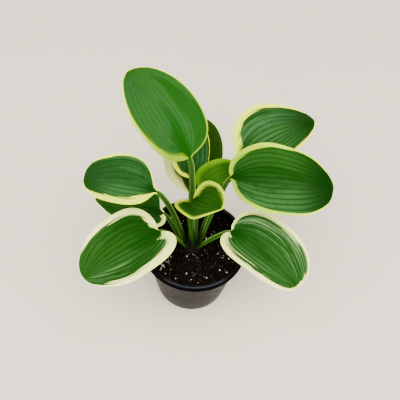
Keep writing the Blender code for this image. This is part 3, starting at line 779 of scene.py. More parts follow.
def blade_material(leaf, seed, underside):
    """The blade's upper or under surface."""
    material, nodes, shader = new_material(leaf.name + ("_underside" if underside else "_blade"))
    green, deep = GREENS[leaf.green]
    pale, tint, half_tone, streak = PALES[leaf.pale]
    if underside:
        green, deep, pale = map(blend_colours, (green, deep, pale), UNDER_COLOURS, UNDER_SHARES)
    # Colours of the painted sheen and of the painted highlight on the ridges.
    sheen = blend_colours(green, SHEEN_COLOUR, SHEEN_SHARE)
    crest = blend_colours(green, CREST_COLOUR, CREST_SHARE * min(1.0, leaf.ribbing))
    pattern = nodes.placed("Leaf variegation", variegation_group, Green=green, Deep=deep, Sheen=sheen,
                           Crest=crest, Half_tone=half_tone, Pale=pale, Tint=tint, Streak=streak,
                           Feather=leaf.feather, Soft=leaf.soft, Seed=seed)
    nodes.fill(shader, Base_Color=pattern["Color"], Specular_IOR_Level=0.01,
               Roughness=UNDER_ROUGHNESS if underside else pattern["Roughness"],
               Normal=nodes.bump(pattern["Height"], strength=0.35, distance=0.0004))
    return material


def stalk_material(settings):
    """Stalk green with the pale edges of its channel, and painted shade near the crown."""
    name = "hosta_stalk"
    if name in bpy.data.materials:
        return bpy.data.materials[name]
    material, nodes, shader = new_material(name)
    lines = nodes.noise(nodes.stretched_place(STALK_STRETCH), scale=1.0, detail=3.0)
    green = tuple(settings.stalk_colour)
    line_green = blend_colours(green, STALK_LINE_COLOUR, STALK_LINE_SHARE)
    base = nodes.mixed(nodes.ramp(lines, *STALK_LINES), green, line_green)
    base = nodes.mixed(nodes.attribute("wing"), base, tuple(settings.wing_colour))
    shade = nodes.ramp(nodes.attribute("along"), *STALK_SHADE)
    base = nodes.mixed(1.0, base, nodes.vector(shade, shade, shade), "MULTIPLY")
    nodes.fill(shader, Base_Color=base, Roughness=0.42, Specular_IOR_Level=0.03,
               Normal=nodes.bump(lines, strength=0.3, distance=0.0003))
    return material


# ---------------------------------------------------------------- leaf shape

def cubic(points, t):
    """Points along a cubic Bezier curve."""
    a, b, c, d = (np.array(point, float) for point in points)
    t = np.asarray(t, float)[..., None]
    return (1 - t) ** 3 * a + 3 * (1 - t) ** 2 * t * b + 3 * (1 - t) * t * t * c + t ** 3 * d


def half_outline(leaf, side, u):
    """Flat outline of one half, as shares of the blade's length and of the half's width."""
    half = 0 if side > 0 else 1
    lobe = leaf.lobes[half]
    belly = leaf.belly[half]
    shoulder = belly + SHOULDER_HANDLE * (1 - belly)
    base_points = ((0, 0), (LOBE_HANDLE[0] * lobe, LOBE_HANDLE[1]), (SIDE_HANDLE * lobe, 1), (belly, 1))
    end_points = ((belly, 1), (shoulder, 1), (TIP_HANDLE, leaf.blunt[half]), (1, 0))
    base = cubic(base_points, np.clip(u / WIDEST, 0, 1))
    end = cubic(end_points, np.clip((u - WIDEST) / (1 - WIDEST), 0, 1))
    return np.where(np.asarray(u)[..., None] < WIDEST, base, end)


def midrib(leaf):
    """Points of the midrib, with its direction, the way to the left and the way up."""
    t = np.linspace(0, 1, MIDRIB_SAMPLES)
    pitch = np.radians(leaf.rise - leaf.droop * t)
    turn = np.radians(leaf.heading + leaf.sweep * t)
    along = np.stack([np.cos(turn) * np.cos(pitch), np.sin(turn) * np.cos(pitch), np.sin(pitch)], 1)
    steps = (along[1:] + along[:-1]) / 2 * leaf.length / (MIDRIB_SAMPLES - 1)
    points = np.concatenate([np.zeros((1, 3)), np.cumsum(steps, 0)]) + np.array(leaf.joint)
    level = np.stack([-np.sin(turn), np.cos(turn), np.zeros(MIDRIB_SAMPLES)], 1)
    upright = np.cross(along, level)
    roll = math.radians(leaf.roll)
    left = level * math.cos(roll) + upright * math.sin(roll)
    up = upright * math.cos(roll) - level * math.sin(roll)
    return t, points, along, left, up


def blade_points(leaf, x, y, lift):
    """Place flat blade points: x as a share of the length, y in metres to the left."""
    t, points, along, left, up = midrib(leaf)
    share = np.clip(x, 0, 1)

    def at(values):
        """The values of the midrib beside each point."""
        return np.stack([np.interp(share, t, values[:, axis]) for axis in range(3)], -1)

    side = np.where(y >= 0, 1.0, -1.0)
    half = np.where(y >= 0, leaf.halves[0], leaf.halves[1])
    cup = np.radians(np.where(y >= 0, leaf.cup[0], leaf.cup[1])) / half
    fold = math.radians(FOLD)
    bend = fold + cup * np.abs(y)
    across = (np.sin(bend) - math.sin(fold)) / cup
    height = (math.cos(fold) - np.cos(bend)) / cup
    turn = math.tau * (leaf.waves * x + leaf.phase) + WAVE_OFFSET * math.pi * (side < 0)
    wave = leaf.wave * (y / half) ** 2 * np.sin(turn)
    place = at(points) + at(along) * ((x - share) * leaf.length)[..., None]
    place = place + at(left) * (side * across)[..., None]
    return place + at(up) * (height + wave + lift)[..., None]


def margin_distance(leaf, x, y):
    """Flat distance of each blade point from the margin, in metres."""
    u = np.linspace(0, 1, OUTLINE_SAMPLES)
    left = half_outline(leaf, 1, u) * (leaf.length, leaf.halves[0])
    right = half_outline(leaf, -1, u) * (leaf.length, -leaf.halves[1])
    rim = np.concatenate([left, right])
    flat = np.stack([x * leaf.length, y], 1)
    batches = np.array_split(flat, math.ceil(len(flat) / POINTS_AT_ONCE))
    return np.concatenate([np.sqrt(((batch[:, None] - rim) ** 2).sum(-1)).min(1) for batch in batches])


def pale_edge(leaf, u, v, x, y):
    """Distance from the margin over the width of the pale band: under 1 inside the band."""
    left, right = (np.interp(u, MARGIN_AT, widths) for widths in leaf.margins)
    band = (right + (left - right) * smooth_step(*MARGIN_SPLIT, v)) / MM_IN_M
    band = band * (MARGIN_FOOT + (1 - MARGIN_FOOT) * smooth_step(*MARGIN_GROWS, u))
    inside = (1 - np.abs(v)) / MARGIN_REACH * (1 - smooth_step(*REACH_ENDS, u))
    return np.maximum(margin_distance(leaf, x, y) / band, inside)


def store_looks(sheet, leaf, u, v, x, y, ribs):
    """Keep what the materials read. u runs from joint to tip, v from -1 at the right to 1 at the left."""
    out = np.abs(v)
    painted_sheen = leaf.painted_sheen[1] + (leaf.painted_sheen[0] - leaf.painted_sheen[1]) * smooth_step(*SHEEN_SPLIT, v)
    painted_sheen = painted_sheen * smooth_step(*SHEEN_STARTS, u + SHEEN_OUTWARDS * out)
    streaks = np.where(v >= 0, leaf.streaks[0], leaf.streaks[1])
    ribbed = smooth_step(*GROOVE_STARTS, u) * (1 - smooth_step(*GROOVE_ENDS, u))
    store(sheet, vein=v * ribs, along=u,
          groove=ribbed * min(1.0, leaf.ribbing ** 0.5),
          heart=(1 - smooth_step(*HEART_ENDS, u)) * (1 - smooth_step(*HEART_WIDTH, out)),
          outer=painted_sheen * (1 - smooth_step(*SHEEN_ENDS, u)),
          pale_edge=pale_edge(leaf, u, v, x, y),
          dusk=leaf.dusk * smooth_step(*TIP_SHADE_FALLS, u + TIP_SHADE_OUTWARDS * out),
          streak=streaks * smooth_step(*STREAK_STARTS, out) * np.sin(math.pi * u) ** 0.5)


def make_blade(leaf, settings):
    """The blade: a grid drawn out to the leaf's outline, cupped, waved and ribbed, then thickened."""
    ribs = round(max(leaf.halves) / settings.vein_spacing)
    across = 2 * math.ceil(max(leaf.halves) / settings.mesh_size)
    along = math.ceil(leaf.length / settings.mesh_size)
    sheet, rightwards, u = grid_sheet(across, along)
    v = -rightwards
    out = np.abs(v)
    edge = np.where((v >= 0)[:, None], half_outline(leaf, 1, u), half_outline(leaf, -1, u))
    x = (1 - out) * u ** ROW_CROWDING + out * edge[:, 0]
    y = v * edge[:, 1] * np.where(v >= 0, leaf.halves[0], leaf.halves[1])
    ridge = 2 * np.abs(np.sin(math.pi * v * ribs / 2)) ** RIDGE_ROUNDING - 1
    rising = np.sin(math.pi * np.clip(u, 0, 1)) ** RIB_SWELL * (1 - smooth_step(*RIB_FADE, u))
    relief = settings.vein_relief * leaf.ribbing * ridge * rising * (1 - v * v)
    open_share = np.clip(1 - u / NECK, 0, 1) ** 2
    neck = leaf.stalk * NECK_WIDTH * open_share
    drop = leaf.stalk * NECK_DROP * open_share * (1 - v * v)
    place_vertices(sheet, blade_points(leaf, x, y + v * neck, relief - drop))
    store_looks(sheet, leaf, u, v, x, y, ribs)
    full = sheet.vertex_groups.new(name="full")
    for vertex, share in enumerate(1 - smooth_step(*EDGE_THINS, out)):
        full.add([vertex], share, "REPLACE")
    merge_doubles(sheet)
    thick = sheet.modifiers.new("Thickness", "SOLIDIFY")
    thick.thickness = settings.thickness
    thick.offset = 0.0
    thick.use_rim = True
    thick.vertex_group = full.name
    thick.thickness_vertex_group = EDGE_THICKNESS
    thick.material_offset = 1
    apply_all(sheet)
    return sheet


def stalk_line(leaf, t):
    """Centre line of the stalk from the crown to the joint."""
    foot = np.array((*leaf.foot, SOIL_TOP + CROWN_RISE - SOCKET_DEPTH))
    joint = np.array(leaf.joint)
    span = np.linalg.norm(joint - foot)
    chord = (joint - foot) / span
    start = chord + np.array((0, 0, leaf.bow))
    start /= np.linalg.norm(start)
    end = chord + midrib(leaf)[2][0] * leaf.knee
    end /= np.linalg.norm(end)
    leaving = foot + start * span * STALK_HANDLES[0]
    arriving = joint - end * span * STALK_HANDLES[1]
    return cubic((foot, leaving, arriving, joint), t)


def stalk_rows(leaf, relief):
    """Rows of the stalk from the crown to the joint, and on from there under the blade as its midrib.

    Gives their centres, ways to the left and up, radii, how open the channel is and the share climbed.
    """
    t, points, _, left, up = midrib(leaf)
    foot, joint = stalk_line(leaf, (0.0, 1.0))
    climb = np.linspace(0, 1 - BEND_LENGTH / np.linalg.norm(joint - foot), STALK_ROWS)
    rib = np.concatenate([[0.0], np.linspace(RIB_START / leaf.length, MIDRIB_SHARE, RIB_ROWS)])
    picks = np.round(rib * (len(t) - 1)).astype(int)
    rib_radii = RIB_END_RADIUS + (leaf.stalk - RIB_END_RADIUS) * (1 - rib / MIDRIB_SHARE)
    sunk = rib_radii + RIB_SINK + relief * leaf.ribbing * np.sin(math.pi * rib) ** RIB_SWELL
    stalk_radii = FOOT_RADIUS + (leaf.stalk - FOOT_RADIUS) * np.minimum(1, climb / FOOT_SHARE)

    centres = np.concatenate([stalk_line(leaf, climb), points[picks] - up[picks] * sunk[:, None]])
    lefts = np.concatenate([np.repeat(left[:1], STALK_ROWS, 0), left[picks]])
    closing = np.clip(1 - rib / CHANNEL_CLOSES, 0, 1)
    open_share = np.concatenate([smooth_step(*CHANNEL_OPENS, climb), closing])
    growth = np.concatenate([climb, np.ones_like(rib)])
    line = np.gradient(centres, axis=0)
    line /= np.linalg.norm(line, axis=1)[:, None]
    lefts = lefts - line * (lefts * line).sum(1)[:, None]
    lefts /= np.linalg.norm(lefts, axis=1)[:, None]
    radii = np.concatenate([stalk_radii, rib_radii])
    return centres, lefts, np.cross(line, lefts), radii, open_share, growth


def make_stalk(leaf, settings):
    """The channelled stalk and midrib: a grid rolled up into a tube along its rows."""
    centres, lefts, ups, radii, open_share, growth = stalk_rows(leaf, settings.vein_relief)
    # The first and the last row stand twice, the outer time with no radius, which closes the ends.
    radii = np.concatenate([[0.0], radii, [0.0]])
    pad = np.concatenate([[0], np.arange(len(centres)), [len(centres) - 1]])
    tube, round_share, long_share = grid_sheet(settings.stalk_sides, len(pad) - 1)
    ring = np.round(long_share * (len(pad) - 1)).astype(int)
    row = pad[ring]
    angle = -math.pi / 2 + round_share * math.pi
    level, height = np.cos(angle), np.sin(angle)
    top = np.clip((height - CHANNEL_EDGE) / (1 - CHANNEL_EDGE), 0, 1)
    scoop = open_share[row] * CHANNEL_DEPTH * smooth_step(0.0, 1.0, top)
    spread = settings.stalk_spread + (1.0 - settings.stalk_spread) * smooth_step(*SPREAD_ENDS, growth[row])
    place_vertices(tube, centres[row] + lefts[row] * (level * radii[ring] * spread)[:, None]
                   + ups[row] * ((height - scoop) * radii[ring])[:, None])
    wing = np.clip(WING_STRENGTH - np.abs(height - WING_AT) * WING_FADE, 0, 1)
    store(tube, along=growth[row], wing=open_share[row] * wing)
    merge_doubles(tube)
    face_outwards(tube)
    return tube


def make_leaf(leaf, seed, settings):
    """One leaf: blade and stalk joined, in its own greens."""
    blade = make_blade(leaf, settings)
    stalk = make_stalk(leaf, settings)
    for underside in (False, True):
        blade.data.materials.append(blade_material(leaf, seed, underside))
    stalk.data.materials.append(stalk_material(settings))
    pick(blade, stalk)
    bpy.ops.object.join()
    smooth(blade, angle=50)
    settle(blade, "hosta_" + leaf.name, leaf.name)


# ---------------------------------------------------------------- pot, soil and crown

# Grey of the patches on the wall: partly dust, partly a painted reflection of the floor.
DUST_AND_REFLECTION_COLOUR = (0.013, 0.015, 0.021)
DUST_PATCHES = (0.45, 0.85)
DULL_PATCHES = (0.3, 0.8)        # of the same dust
DULLING = 0.15                   # what they add to the roughness
# Painted reflection of the floor, lightening the wall towards the ground.
FLOOR_REFLECTION_COLOUR = (0.046, 0.048, 0.056)
FLOOR_REFLECTION_HEIGHT = 0.030              # height to which the painted reflection of the floor reaches up the wall
# Painted shade: a dark band round the foot of the rim, on the wall below and the rim's face above.
RIM_SHADE_COLOUR = (0.0003, 0.0003, 0.0004)
RIM_SHADE_BELOW = (0.008, 0.001)     # below the rim's foot: where the dark band starts, where it is full
RIM_SHADE_ABOVE = (0.006, 0.002)     # above it: where the band ends, where it starts to fade
LIP_POLISH = (0.0003, 0.00005)       # below the top: where the polish of the lip starts, where it is full
LIP_POLISH_SHARE = 0.6
FLOW_MARKS = (25.0, 25.0, 240.0)
EARTH_COLOURS = ((0.0022, 0.0015, 0.0010), (0.0240, 0.0160, 0.0120))
EARTH_FLECKS = (0.60, 0.75)
FIBRE_COLOURS = ((0.0015, 0.0025, 0.0008), (0.0040, 0.0070, 0.0016))
FLESH_FIBRES = (0.35, 0.65)
PERLITE_PIT_COLOUR = (0.3, 0.25, 0.18)
PERLITE_PITS = (0.35, 0.65)
PIT_SHARE = 0.4
MIX_LIGHT = (0.030, 0.020, 0.015)
MIX_PATCHES = (0.50, 0.75)
PATCH_SHARE = 0.35               # how far the patches go towards the light colour
MIX_FLECKS = (0.62, 0.78)
CRUMB_LIGHT = (0.034, 0.023, 0.018)
LIGHT_CRUMBS = (0.55, 1.0)       # some whole crumbs are light


def wall_radius(height):
    """Outer radius of the tapered wall at a height."""
    return BASE_RADIUS + (RIM_RADIUS - RIM_STEP - BASE_RADIUS) * height / POT_HEIGHT


def plastic_group(name):
    """Moulded plastic with faint flow marks, grey patches of dust and painted reflection, a painted
    reflection of the floor towards the ground, and painted shade round the rim foot.
    """
    inputs = (("Plastic", COLOUR_SOCKET), ("Dirt", NUMBER_SOCKET), ("Roughness", NUMBER_SOCKET))
    outputs = (("Color", COLOUR_SOCKET), ("Roughness", NUMBER_SOCKET), ("Height", NUMBER_SOCKET))
    nodes, given, out = new_group(name, inputs, outputs)
    flow = nodes.noise(nodes.stretched_place(FLOW_MARKS), scale=1.0, detail=3.0)
    dust = nodes.noise(nodes.place(), scale=90.0, detail=5.0, roughness=0.7)
    height = nodes.height_of(nodes.place())
    greyed_plastic = nodes.mixed(given["Dirt"], given["Plastic"], DUST_AND_REFLECTION_COLOUR)
    base = nodes.mixed(nodes.ramp(dust, *DUST_PATCHES), given["Plastic"], greyed_plastic)
    # Painted reflection of the floor, towards the ground.
    base = nodes.mixed(nodes.ramp(height, FLOOR_REFLECTION_HEIGHT, 0.0, 0.0, given["Dirt"]), base, FLOOR_REFLECTION_COLOUR)
    # Painted shade round the foot of the rim.
    shade = nodes.times(nodes.ramp(height, *(RIM_FOOT - below for below in RIM_SHADE_BELOW)),
                        nodes.ramp(height, *(RIM_FOOT + above for above in RIM_SHADE_ABOVE)))
    dulled = nodes.plus(given["Roughness"], DULLING)
    nodes.fill(out, Color=nodes.mixed(shade, base, RIM_SHADE_COLOUR), Height=flow,
               Roughness=nodes.ramp(dust, *DULL_PATCHES, given["Roughness"], dulled))
    return nodes.tree


def pot_material(name, settings, gloss, dirt, polish=0.0):
    """The pot's black plastic. Its lip is polished by handling."""
    material, nodes, shader = new_material(name)
    plastic = nodes.placed("Moulded plastic", plastic_group, Plastic=tuple(settings.colour), Dirt=dirt,
                           Roughness=settings.roughness)
    nodes.fill(shader, Base_Color=plastic["Color"], Roughness=plastic["Roughness"], Specular_IOR_Level=gloss,
               Normal=nodes.bump(plastic["Height"], strength=0.15, distance=0.0004))
    if polish:
        height = nodes.height_of(nodes.place())
        worn = nodes.ramp(height, *(POT_HEIGHT - below for below in LIP_POLISH), 0.0, polish)
        nodes.fill(shader, Coat_Weight=worn, Coat_Roughness=0.12)
    return material


def crumbly_group(name):
    """Dark fibres with lighter patches and flecks."""
    inputs = (("Dark", COLOUR_SOCKET), ("Light", COLOUR_SOCKET))
    outputs = (("Color", COLOUR_SOCKET), ("Height", NUMBER_SOCKET))
    nodes, given, out = new_group(name, inputs, outputs)
    grain = nodes.noise(nodes.place(), scale=900.0, detail=4.0, roughness=0.7)
    patches = nodes.noise(nodes.place(), scale=420.0, detail=3.0)
    patched = nodes.mixed(PATCH_SHARE, given["Dark"], given["Light"])
    base = nodes.mixed(nodes.ramp(patches, *MIX_PATCHES), given["Dark"], patched)
    nodes.fill(out, Color=nodes.mixed(nodes.ramp(grain, *MIX_FLECKS), base, given["Light"]), Height=grain)
    return nodes.tree


def soil_material(name, colour, light, by_grain=False):
    """Moist, crumbly mix. With by_grain, some whole grains are lighter too."""
    material, nodes, shader = new_material(name)
    mix = nodes.placed("Crumbly mix", crumbly_group, Dark=tuple(colour), Light=light)
    base = mix["Color"]
    if by_grain:
        base = nodes.mixed(nodes.ramp(nodes.attribute("tone"), *LIGHT_CRUMBS), base, light)
    nodes.fill(shader, Base_Color=base, Roughness=0.92, Specular_IOR_Level=0.02,
               Normal=nodes.bump(mix["Height"], strength=0.8, distance=0.0008))
    return material


def perlite_material(colour):
    """Chalky white expanded grains."""
    material, nodes, shader = new_material("perlite_grains")
    pits = nodes.noise(nodes.place(), scale=1200.0, detail=3.0)
    colour = tuple(colour)
    pitted = blend_colours(colour, PERLITE_PIT_COLOUR, PIT_SHARE)
    nodes.fill(shader, Base_Color=nodes.mixed(nodes.ramp(pits, *PERLITE_PITS), pitted, colour),
               Roughness=0.85, Normal=nodes.bump(pits, strength=0.6, distance=0.0004))
    return material


def crown_material():
    """Green-brown crown flesh, streaked with fibres and covered with earth round its middle."""
    material, nodes, shader = new_material("crown_flesh")
    fibres = nodes.noise(nodes.place(), scale=420.0, detail=4.0, roughness=0.65)
    flesh = nodes.mixed(nodes.ramp(fibres, *FLESH_FIBRES), *FIBRE_COLOURS)
    earth = nodes.mixed(nodes.ramp(fibres, *EARTH_FLECKS), *EARTH_COLOURS)
    nodes.fill(shader, Base_Color=nodes.mixed(nodes.attribute("earth"), flesh, earth), Roughness=0.7,
               Specular_IOR_Level=0.05, Normal=nodes.bump(fibres, strength=0.5, distance=0.0006))
    return material


def quarter_turns():
    """Angles of the steps of a quarter turn."""
    return [math.pi / 2 * step / LIP_STEPS for step in range(LIP_STEPS + 1)]


def make_pot(settings):
    """The nursery pot: turned shell with a rolled rim and six drain holes."""
    lip = settings.lip_round
    inner = RIM_RADIUS - RIM_STEP - WALL
    outline = [(BASE_RADIUS * RECESS_SLOPE[0], FLOOR_RECESS), (BASE_RADIUS * RECESS_SLOPE[1], 0.0)]
    outline += [(BASE_RADIUS - inset, height) for inset, height in BASE_CORNER]
    wall_heights = [CORNER_TOP, *np.linspace(WALL_FROM, RIM_FOOT - ROW_GAP, WALL_ROWS), RIM_FOOT]
    outline += [(wall_radius(height), height) for height in wall_heights]
    outline += [(RIM_RADIUS - lip * inset, RIM_FOOT + lip * rise) for inset, rise in RIM_CORNER]
    outline += [(RIM_RADIUS - lip * (1 - math.cos(turn)), POT_HEIGHT - lip * (1 - math.sin(turn)))
                for turn in quarter_turns()[1:]]
    outline += [(inner + lip * (1 - math.sin(turn)), POT_HEIGHT - lip * (1 - math.cos(turn)))
                for turn in quarter_turns()]
    inner_heights = (SOIL_TOP, *INNER_ROWS, WALL + ROW_GAP)
    outline += [(wall_radius(height) - WALL, height) for height in inner_heights]
    outline += [(wall_radius(WALL) - WALL - ROW_GAP, WALL)]
    pot = turned_shell(outline, settings.sides)
    drills = []
    for hole in range(DRAIN_HOLES):
        angle = math.tau * (hole + 0.5) / DRAIN_HOLES
        deselect()
        bpy.ops.mesh.primitive_cylinder_add(
            vertices=DRAIN_FACETS, radius=DRAIN_RADIUS, depth=WALL * 4,
            location=(DRAIN_RING * math.cos(angle), DRAIN_RING * math.sin(angle), WALL / 2))
        drills.append(bpy.context.object)
    cut(pot, drills)
    smooth(pot, angle=35)
    pot.data.materials.append(pot_material("pot_wall_plastic", settings, gloss=0.03, dirt=0.5))
    pot.data.materials.append(pot_material("pot_rim_plastic", settings, gloss=0.0, dirt=0.0,
                                           polish=LIP_POLISH_SHARE))
    for face in pot.data.polygons:
        face.material_index = int(face.center.z > RIM_FOOT - TOLERANCE)
    settle(pot, "nursery_pot", "pot")


def soil_height(x, y, lump):
    """Lumpy surface of the potting mix."""
    rise = sum(share * noise.noise(Vector((x, y, level)) / (SOIL_GRAIN * size))
               for size, level, share in SOIL_OCTAVES)
    return SOIL_TOP + lump * rise


def make_soil(settings):
    """The body of potting mix, lumpy on top, hollowed for the crown."""
    inner_top = wall_radius(SOIL_TOP) - WALL - SOIL_FIT
    inner_base = wall_radius(WALL) - WALL - SOIL_FIT
    outline = [(inner_base, WALL + SOIL_GAP), (inner_top, SOIL_TOP)]
    outline += [(inner_top * (1 - step / SOIL_RINGS), SOIL_TOP) for step in range(1, SOIL_RINGS)]
    soil = turned_shell(outline, SOIL_FACETS)
    for vertex in soil.data.vertices:
        if vertex.co.z > SOIL_TOP - TOLERANCE:
            x, y = vertex.co.x, vertex.co.y
            inwards = 1 - (math.hypot(x, y) / inner_top) ** WALL_EVENNESS
            near = math.hypot(x - CROWN_AT[0], y - CROWN_AT[1]) / CROWN_RADIUS
            dip = HOLLOW_DEPTH * (1 - smooth_step(*HOLLOW_EDGE, near))
            vertex.co.z += inwards * (soil_height(x, y, settings.lump) - SOIL_TOP) - dip
    soil.data.update()
    smooth(soil, angle=60)
    soil.data.materials.append(soil_material("moist_potting_mix", settings.colour, MIX_LIGHT))
    settle(soil, "potting_mix_body", "potting_soil")


def scatter(count, seed, sizes, subdivisions, lump, thinning=0.0, heaped=0.0):
    """Loose grains on the soil: one rough grain copied, turned and resized, all in one mesh.

    Grains are larger towards the front. Thinning is the share left out at the back, and heaped is the
    share that lies in heaps.
    """
    deselect()
    bpy.ops.mesh.primitive_ico_sphere_add(subdivisions=subdivisions, radius=1.0)
    grain = bpy.context.object
    shape = np.array([vertex.co[:] for vertex in grain.data.vertices])
    polygons = np.array([polygon.vertices[:] for polygon in grain.data.polygons])
    bpy.data.objects.remove(grain, do_unlink=True)
    random = np.random.default_rng(seed)
    reach = wall_radius(SOIL_TOP) - WALL - GRAIN_MARGIN
    heaps = random.uniform(-reach, reach, (HEAPS, 2))
    smallest, largest = sizes
    vertices, triangles = [], []
    while len(vertices) < count:
        x, y = random.uniform(-reach, reach, 2)
        if random.random() < heaped:
            x, y = heaps[random.integers(HEAPS)] + random.normal(0, HEAP_SPREAD, 2)
        off_crown = math.hypot(x - CROWN_AT[0], y - CROWN_AT[1])
        if math.hypot(x, y) > reach or off_crown < CROWN_RADIUS * CROWN_MARGIN:
            continue
        backwards = 0.5 + 0.5 * y / reach
        if random.random() < thinning * backwards:
            continue
        skew = GRAIN_SKEW[0] + GRAIN_SKEW[1] * backwards
        size = random.uniform(0, 1) ** skew * (largest - smallest) + smallest
        rough = shape * (1 + GRAIN_ROUGHNESS * random.standard_normal((len(shape), 1)).clip(-1, 1))
        rough = rough * random.uniform(*GRAIN_SQUASH, 3)
        turn, _ = np.linalg.qr(random.standard_normal((3, 3)))
        if np.linalg.det(turn) < 0:
            turn[:, 0] *= -1
        centre = np.array((x, y, soil_height(x, y, lump) + size * GRAIN_LIFT))
        triangles.append(polygons + len(vertices) * len(shape))
        vertices.append(rough @ turn.T * size + centre)
    mesh = bpy.data.meshes.new("grains")
    mesh.from_pydata(np.concatenate(vertices).tolist(), [], np.concatenate(triangles).tolist())
    item = add_object("grains", mesh)
    store(item, tone=np.repeat(random.uniform(0, 1, count), len(shape)))
    return item


def make_grains(settings):
    """Crumbs of bark and peat, and perlite, on top of the mix."""
    crumbs = scatter(settings.crumbs, seed=3, sizes=(0.0005, 0.0020), subdivisions=1, lump=settings.lump)
    crumbs.data.materials.append(soil_material("bark_crumbs", settings.colour, CRUMB_LIGHT, by_grain=True))
    settle(crumbs, "bark_crumbs", "potting_soil")
    perlite = scatter(settings.perlite, seed=8, sizes=(0.00015, 0.0012), subdivisions=2,
                      lump=settings.lump, thinning=0.8, heaped=0.6)
    perlite.data.materials.append(perlite_material(settings.perlite_colour))
    smooth(perlite, angle=60)
    settle(perlite, "perlite_grains", "potting_soil")


def make_root(index):
    """One fleshy root as a tapered, bevelled curve made into a mesh."""
    angle = math.tau * (index + ROOT_TURN) / ROOTS
    out = Vector((math.cos(angle), math.sin(angle), 0.0))
    start = Vector((*CROWN_AT, SOIL_TOP - CROWN_DEPTH * ROOT_LEVEL))
    curve = bpy.data.curves.new("root", "CURVE")
    curve.dimensions = "3D"
    curve.bevel_depth = ROOT_RADIUS
    curve.bevel_resolution = 3
    curve.use_fill_caps = True
    spline = curve.splines.new("POLY")
    spline.points.add(ROOT_STEPS)
    for step, point in enumerate(spline.points):
        t = step / ROOT_STEPS
        reached = out * ROOT_REACH * (ROOT_START + (1 - ROOT_START) * t)
        point.co = (*(start + reached - Vector((0, 0, ROOT_DROP * t * t))), 1.0)
        point.radius = 1 - ROOT_TAPER * t
    root = add_object("root", curve)
    pick(root)
    bpy.ops.object.convert(target="MESH")
    return bpy.context.object


def make_crown():
    """The domed crown with its roots."""
    outline = [(CROWN_RADIUS * radius, SOIL_TOP + CROWN_RISE * rise - CROWN_DEPTH * depth)
               for radius, rise, depth in CROWN_PROFILE]
    crown = turned_shell(outline, CROWN_FACETS, CROWN_AT)
    roots = [make_root(index) for index in range(ROOTS)]
    pick(crown, *roots)
    bpy.ops.object.join()
    smooth(crown, angle=60)
    near = [math.dist(vertex.co[:2], CROWN_AT) / CROWN_RADIUS for vertex in crown.data.vertices]
    store(crown, earth=smooth_step(*EARTHED, np.array(near)))
    crown.data.materials.append(crown_material())
    settle(crown, "crown_and_roots", "crown")


# ---------------------------------------------------------------- stage

def make_floor(settings):
    """A plain pale floor."""
    deselect()
    bpy.ops.mesh.primitive_plane_add(size=6.0)
    floor = bpy.context.object
    floor.name = "floor"
    material, nodes, shader = new_material("pale_floor")
    nodes.fill(shader, Base_Color=tuple(settings.floor_colour), Roughness=0.7)
    floor.data.materials.append(material)


def make_lights(settings):
    """Even light from all round, with two large softboxes above."""
    world = bpy.data.worlds.new("studio")
    world.use_nodes = True
    background = world.node_tree.nodes["Background"]
    background.inputs["Color"].default_value = (1.0, 1.0, 1.0, 1.0)
    background.inputs["Strength"].default_value = settings.ambient
    bpy.context.scene.world = world
    aim = Vector((0, 0, 0.1))
    boxes = (("key_softbox", (-0.6, -0.8, 1.4), 1.0), ("fill_softbox", (0.9, -0.3, 1.5), 0.7))
    for name, place, share in boxes:
        lamp = bpy.data.lights.new(name, "AREA")
        lamp.shape = "SQUARE"
        lamp.size = 2.0
        lamp.energy = settings.softbox * share
        item = add_object(name, lamp)
        item.location = place
        item.rotation_euler = (aim - item.location).to_track_quat("-Z", "Y").to_euler()


def make_camera(settings):
    """The camera, looking down on the plant."""
    camera = bpy.data.cameras.new("camera")
    camera.lens = settings.lens
    camera.sensor_width = 36.0
    camera.clip_start = 0.01
    camera.clip_end = 50.0
    item = add_object("camera", camera)
    forward = Vector((0, math.cos(settings.elevation), -math.sin(settings.elevation)))
    above = Vector((0, math.sin(settings.elevation), math.cos(settings.elevation)))
    right = Vector((1, 0, 0))
    turn = settings.camera_roll
    across = right * math.cos(turn) + above * math.sin(turn)
    upward = above * math.cos(turn) - right * math.sin(turn)
    item.location = Vector(settings.aim) - forward * settings.distance
    item.rotation_euler = Matrix((across, upward, -forward)).transposed().to_euler()
    bpy.context.scene.camera = item


# ---------------------------------------------------------------- operators and panel

class HOSTA_OT_pot(bpy.types.Operator):
    """Build the nursery pot"""

    bl_idname = "hosta.pot"
    bl_label = "Nursery Pot"
    bl_options = {"REGISTER", "UNDO"}

    def execute(self, context):
        make_pot(context.scene.hosta_pot)
        return {"FINISHED"}


class HOSTA_OT_soil(bpy.types.Operator):
    """Build the potting mix"""

    bl_idname = "hosta.soil"
    bl_label = "Potting Mix"
    bl_options = {"REGISTER", "UNDO"}

    def execute(self, context):
        make_soil(context.scene.hosta_soil)
        return {"FINISHED"}


class HOSTA_OT_grains(bpy.types.Operator):
    """Scatter bark crumbs and perlite on the mix"""

    bl_idname = "hosta.grains"
    bl_label = "Crumbs and Perlite"
    bl_options = {"REGISTER", "UNDO"}

    def execute(self, context):
        make_grains(context.scene.hosta_soil)
        return {"FINISHED"}


class HOSTA_OT_crown(bpy.types.Operator):
    """Build the crown with its roots"""

    bl_idname = "hosta.crown"
    bl_label = "Crown and Roots"
    bl_options = {"REGISTER", "UNDO"}

    def execute(self, context):
        make_crown()
        return {"FINISHED"}


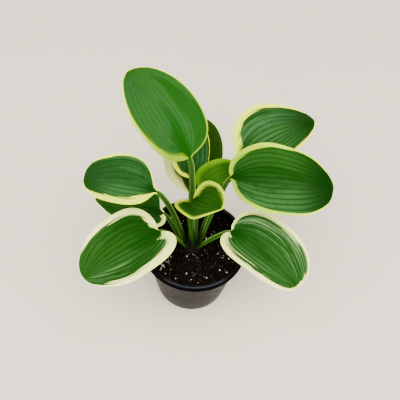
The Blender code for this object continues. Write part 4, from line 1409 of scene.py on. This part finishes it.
class HOSTA_OT_leaves(bpy.types.Operator):
    """Build every leaf with its stalk"""

    bl_idname = "hosta.leaves"
    bl_label = "Leaves"
    bl_options = {"REGISTER", "UNDO"}

    def execute(self, context):
        for number, leaf in enumerate(LEAVES):
            make_leaf(leaf, number * SEED_STEP + leaf.shift, context.scene.hosta_leaf)
        return {"FINISHED"}


class HOSTA_OT_stage(bpy.types.Operator):
    """Lay the floor, hang the lights and set up the camera"""

    bl_idname = "hosta.stage"
    bl_label = "Stage"
    bl_options = {"REGISTER", "UNDO"}

    def execute(self, context):
        settings = context.scene.hosta_stage
        make_floor(settings)
        make_lights(settings)
        make_camera(settings)
        return {"FINISHED"}


class HOSTA_PT_panel(bpy.types.Panel):
    """Lists the pieces of the potted hosta."""

    bl_idname = "HOSTA_PT_panel"
    bl_label = "Potted Hosta"
    bl_space_type = "VIEW_3D"
    bl_region_type = "UI"
    bl_category = "Hosta"

    def draw(self, context):
        for piece in PIECES:
            self.layout.operator(piece.bl_idname)
        for settings in SETTINGS:
            box = self.layout.box()
            group = getattr(context.scene, settings)
            for entry in group.bl_rna.properties:
                if not entry.is_readonly and entry.identifier != "name":
                    box.prop(group, entry.identifier)


PIECES = (HOSTA_OT_pot, HOSTA_OT_soil, HOSTA_OT_grains, HOSTA_OT_crown, HOSTA_OT_leaves, HOSTA_OT_stage)
SETTINGS = {"hosta_pot": PotSettings, "hosta_soil": SoilSettings, "hosta_leaf": LeafSettings,
            "hosta_stage": StageSettings}


def register():
    """Register the settings, the operators and the panel."""
    for kind in (*SETTINGS.values(), *PIECES, HOSTA_PT_panel):
        bpy.utils.register_class(kind)
    for name, kind in SETTINGS.items():
        setattr(bpy.types.Scene, name, bpy.props.PointerProperty(type=kind))


def unregister():
    """Undo register."""
    for name in SETTINGS:
        delattr(bpy.types.Scene, name)
    for kind in (HOSTA_PT_panel, *reversed(PIECES), *SETTINGS.values()):
        bpy.utils.unregister_class(kind)


def main():
    """Build every piece in order."""
    register()
    bpy.ops.hosta.pot()
    bpy.ops.hosta.soil()
    bpy.ops.hosta.grains()
    bpy.ops.hosta.crown()
    bpy.ops.hosta.leaves()
    bpy.ops.hosta.stage()


if __name__ == "__main__":
    main()
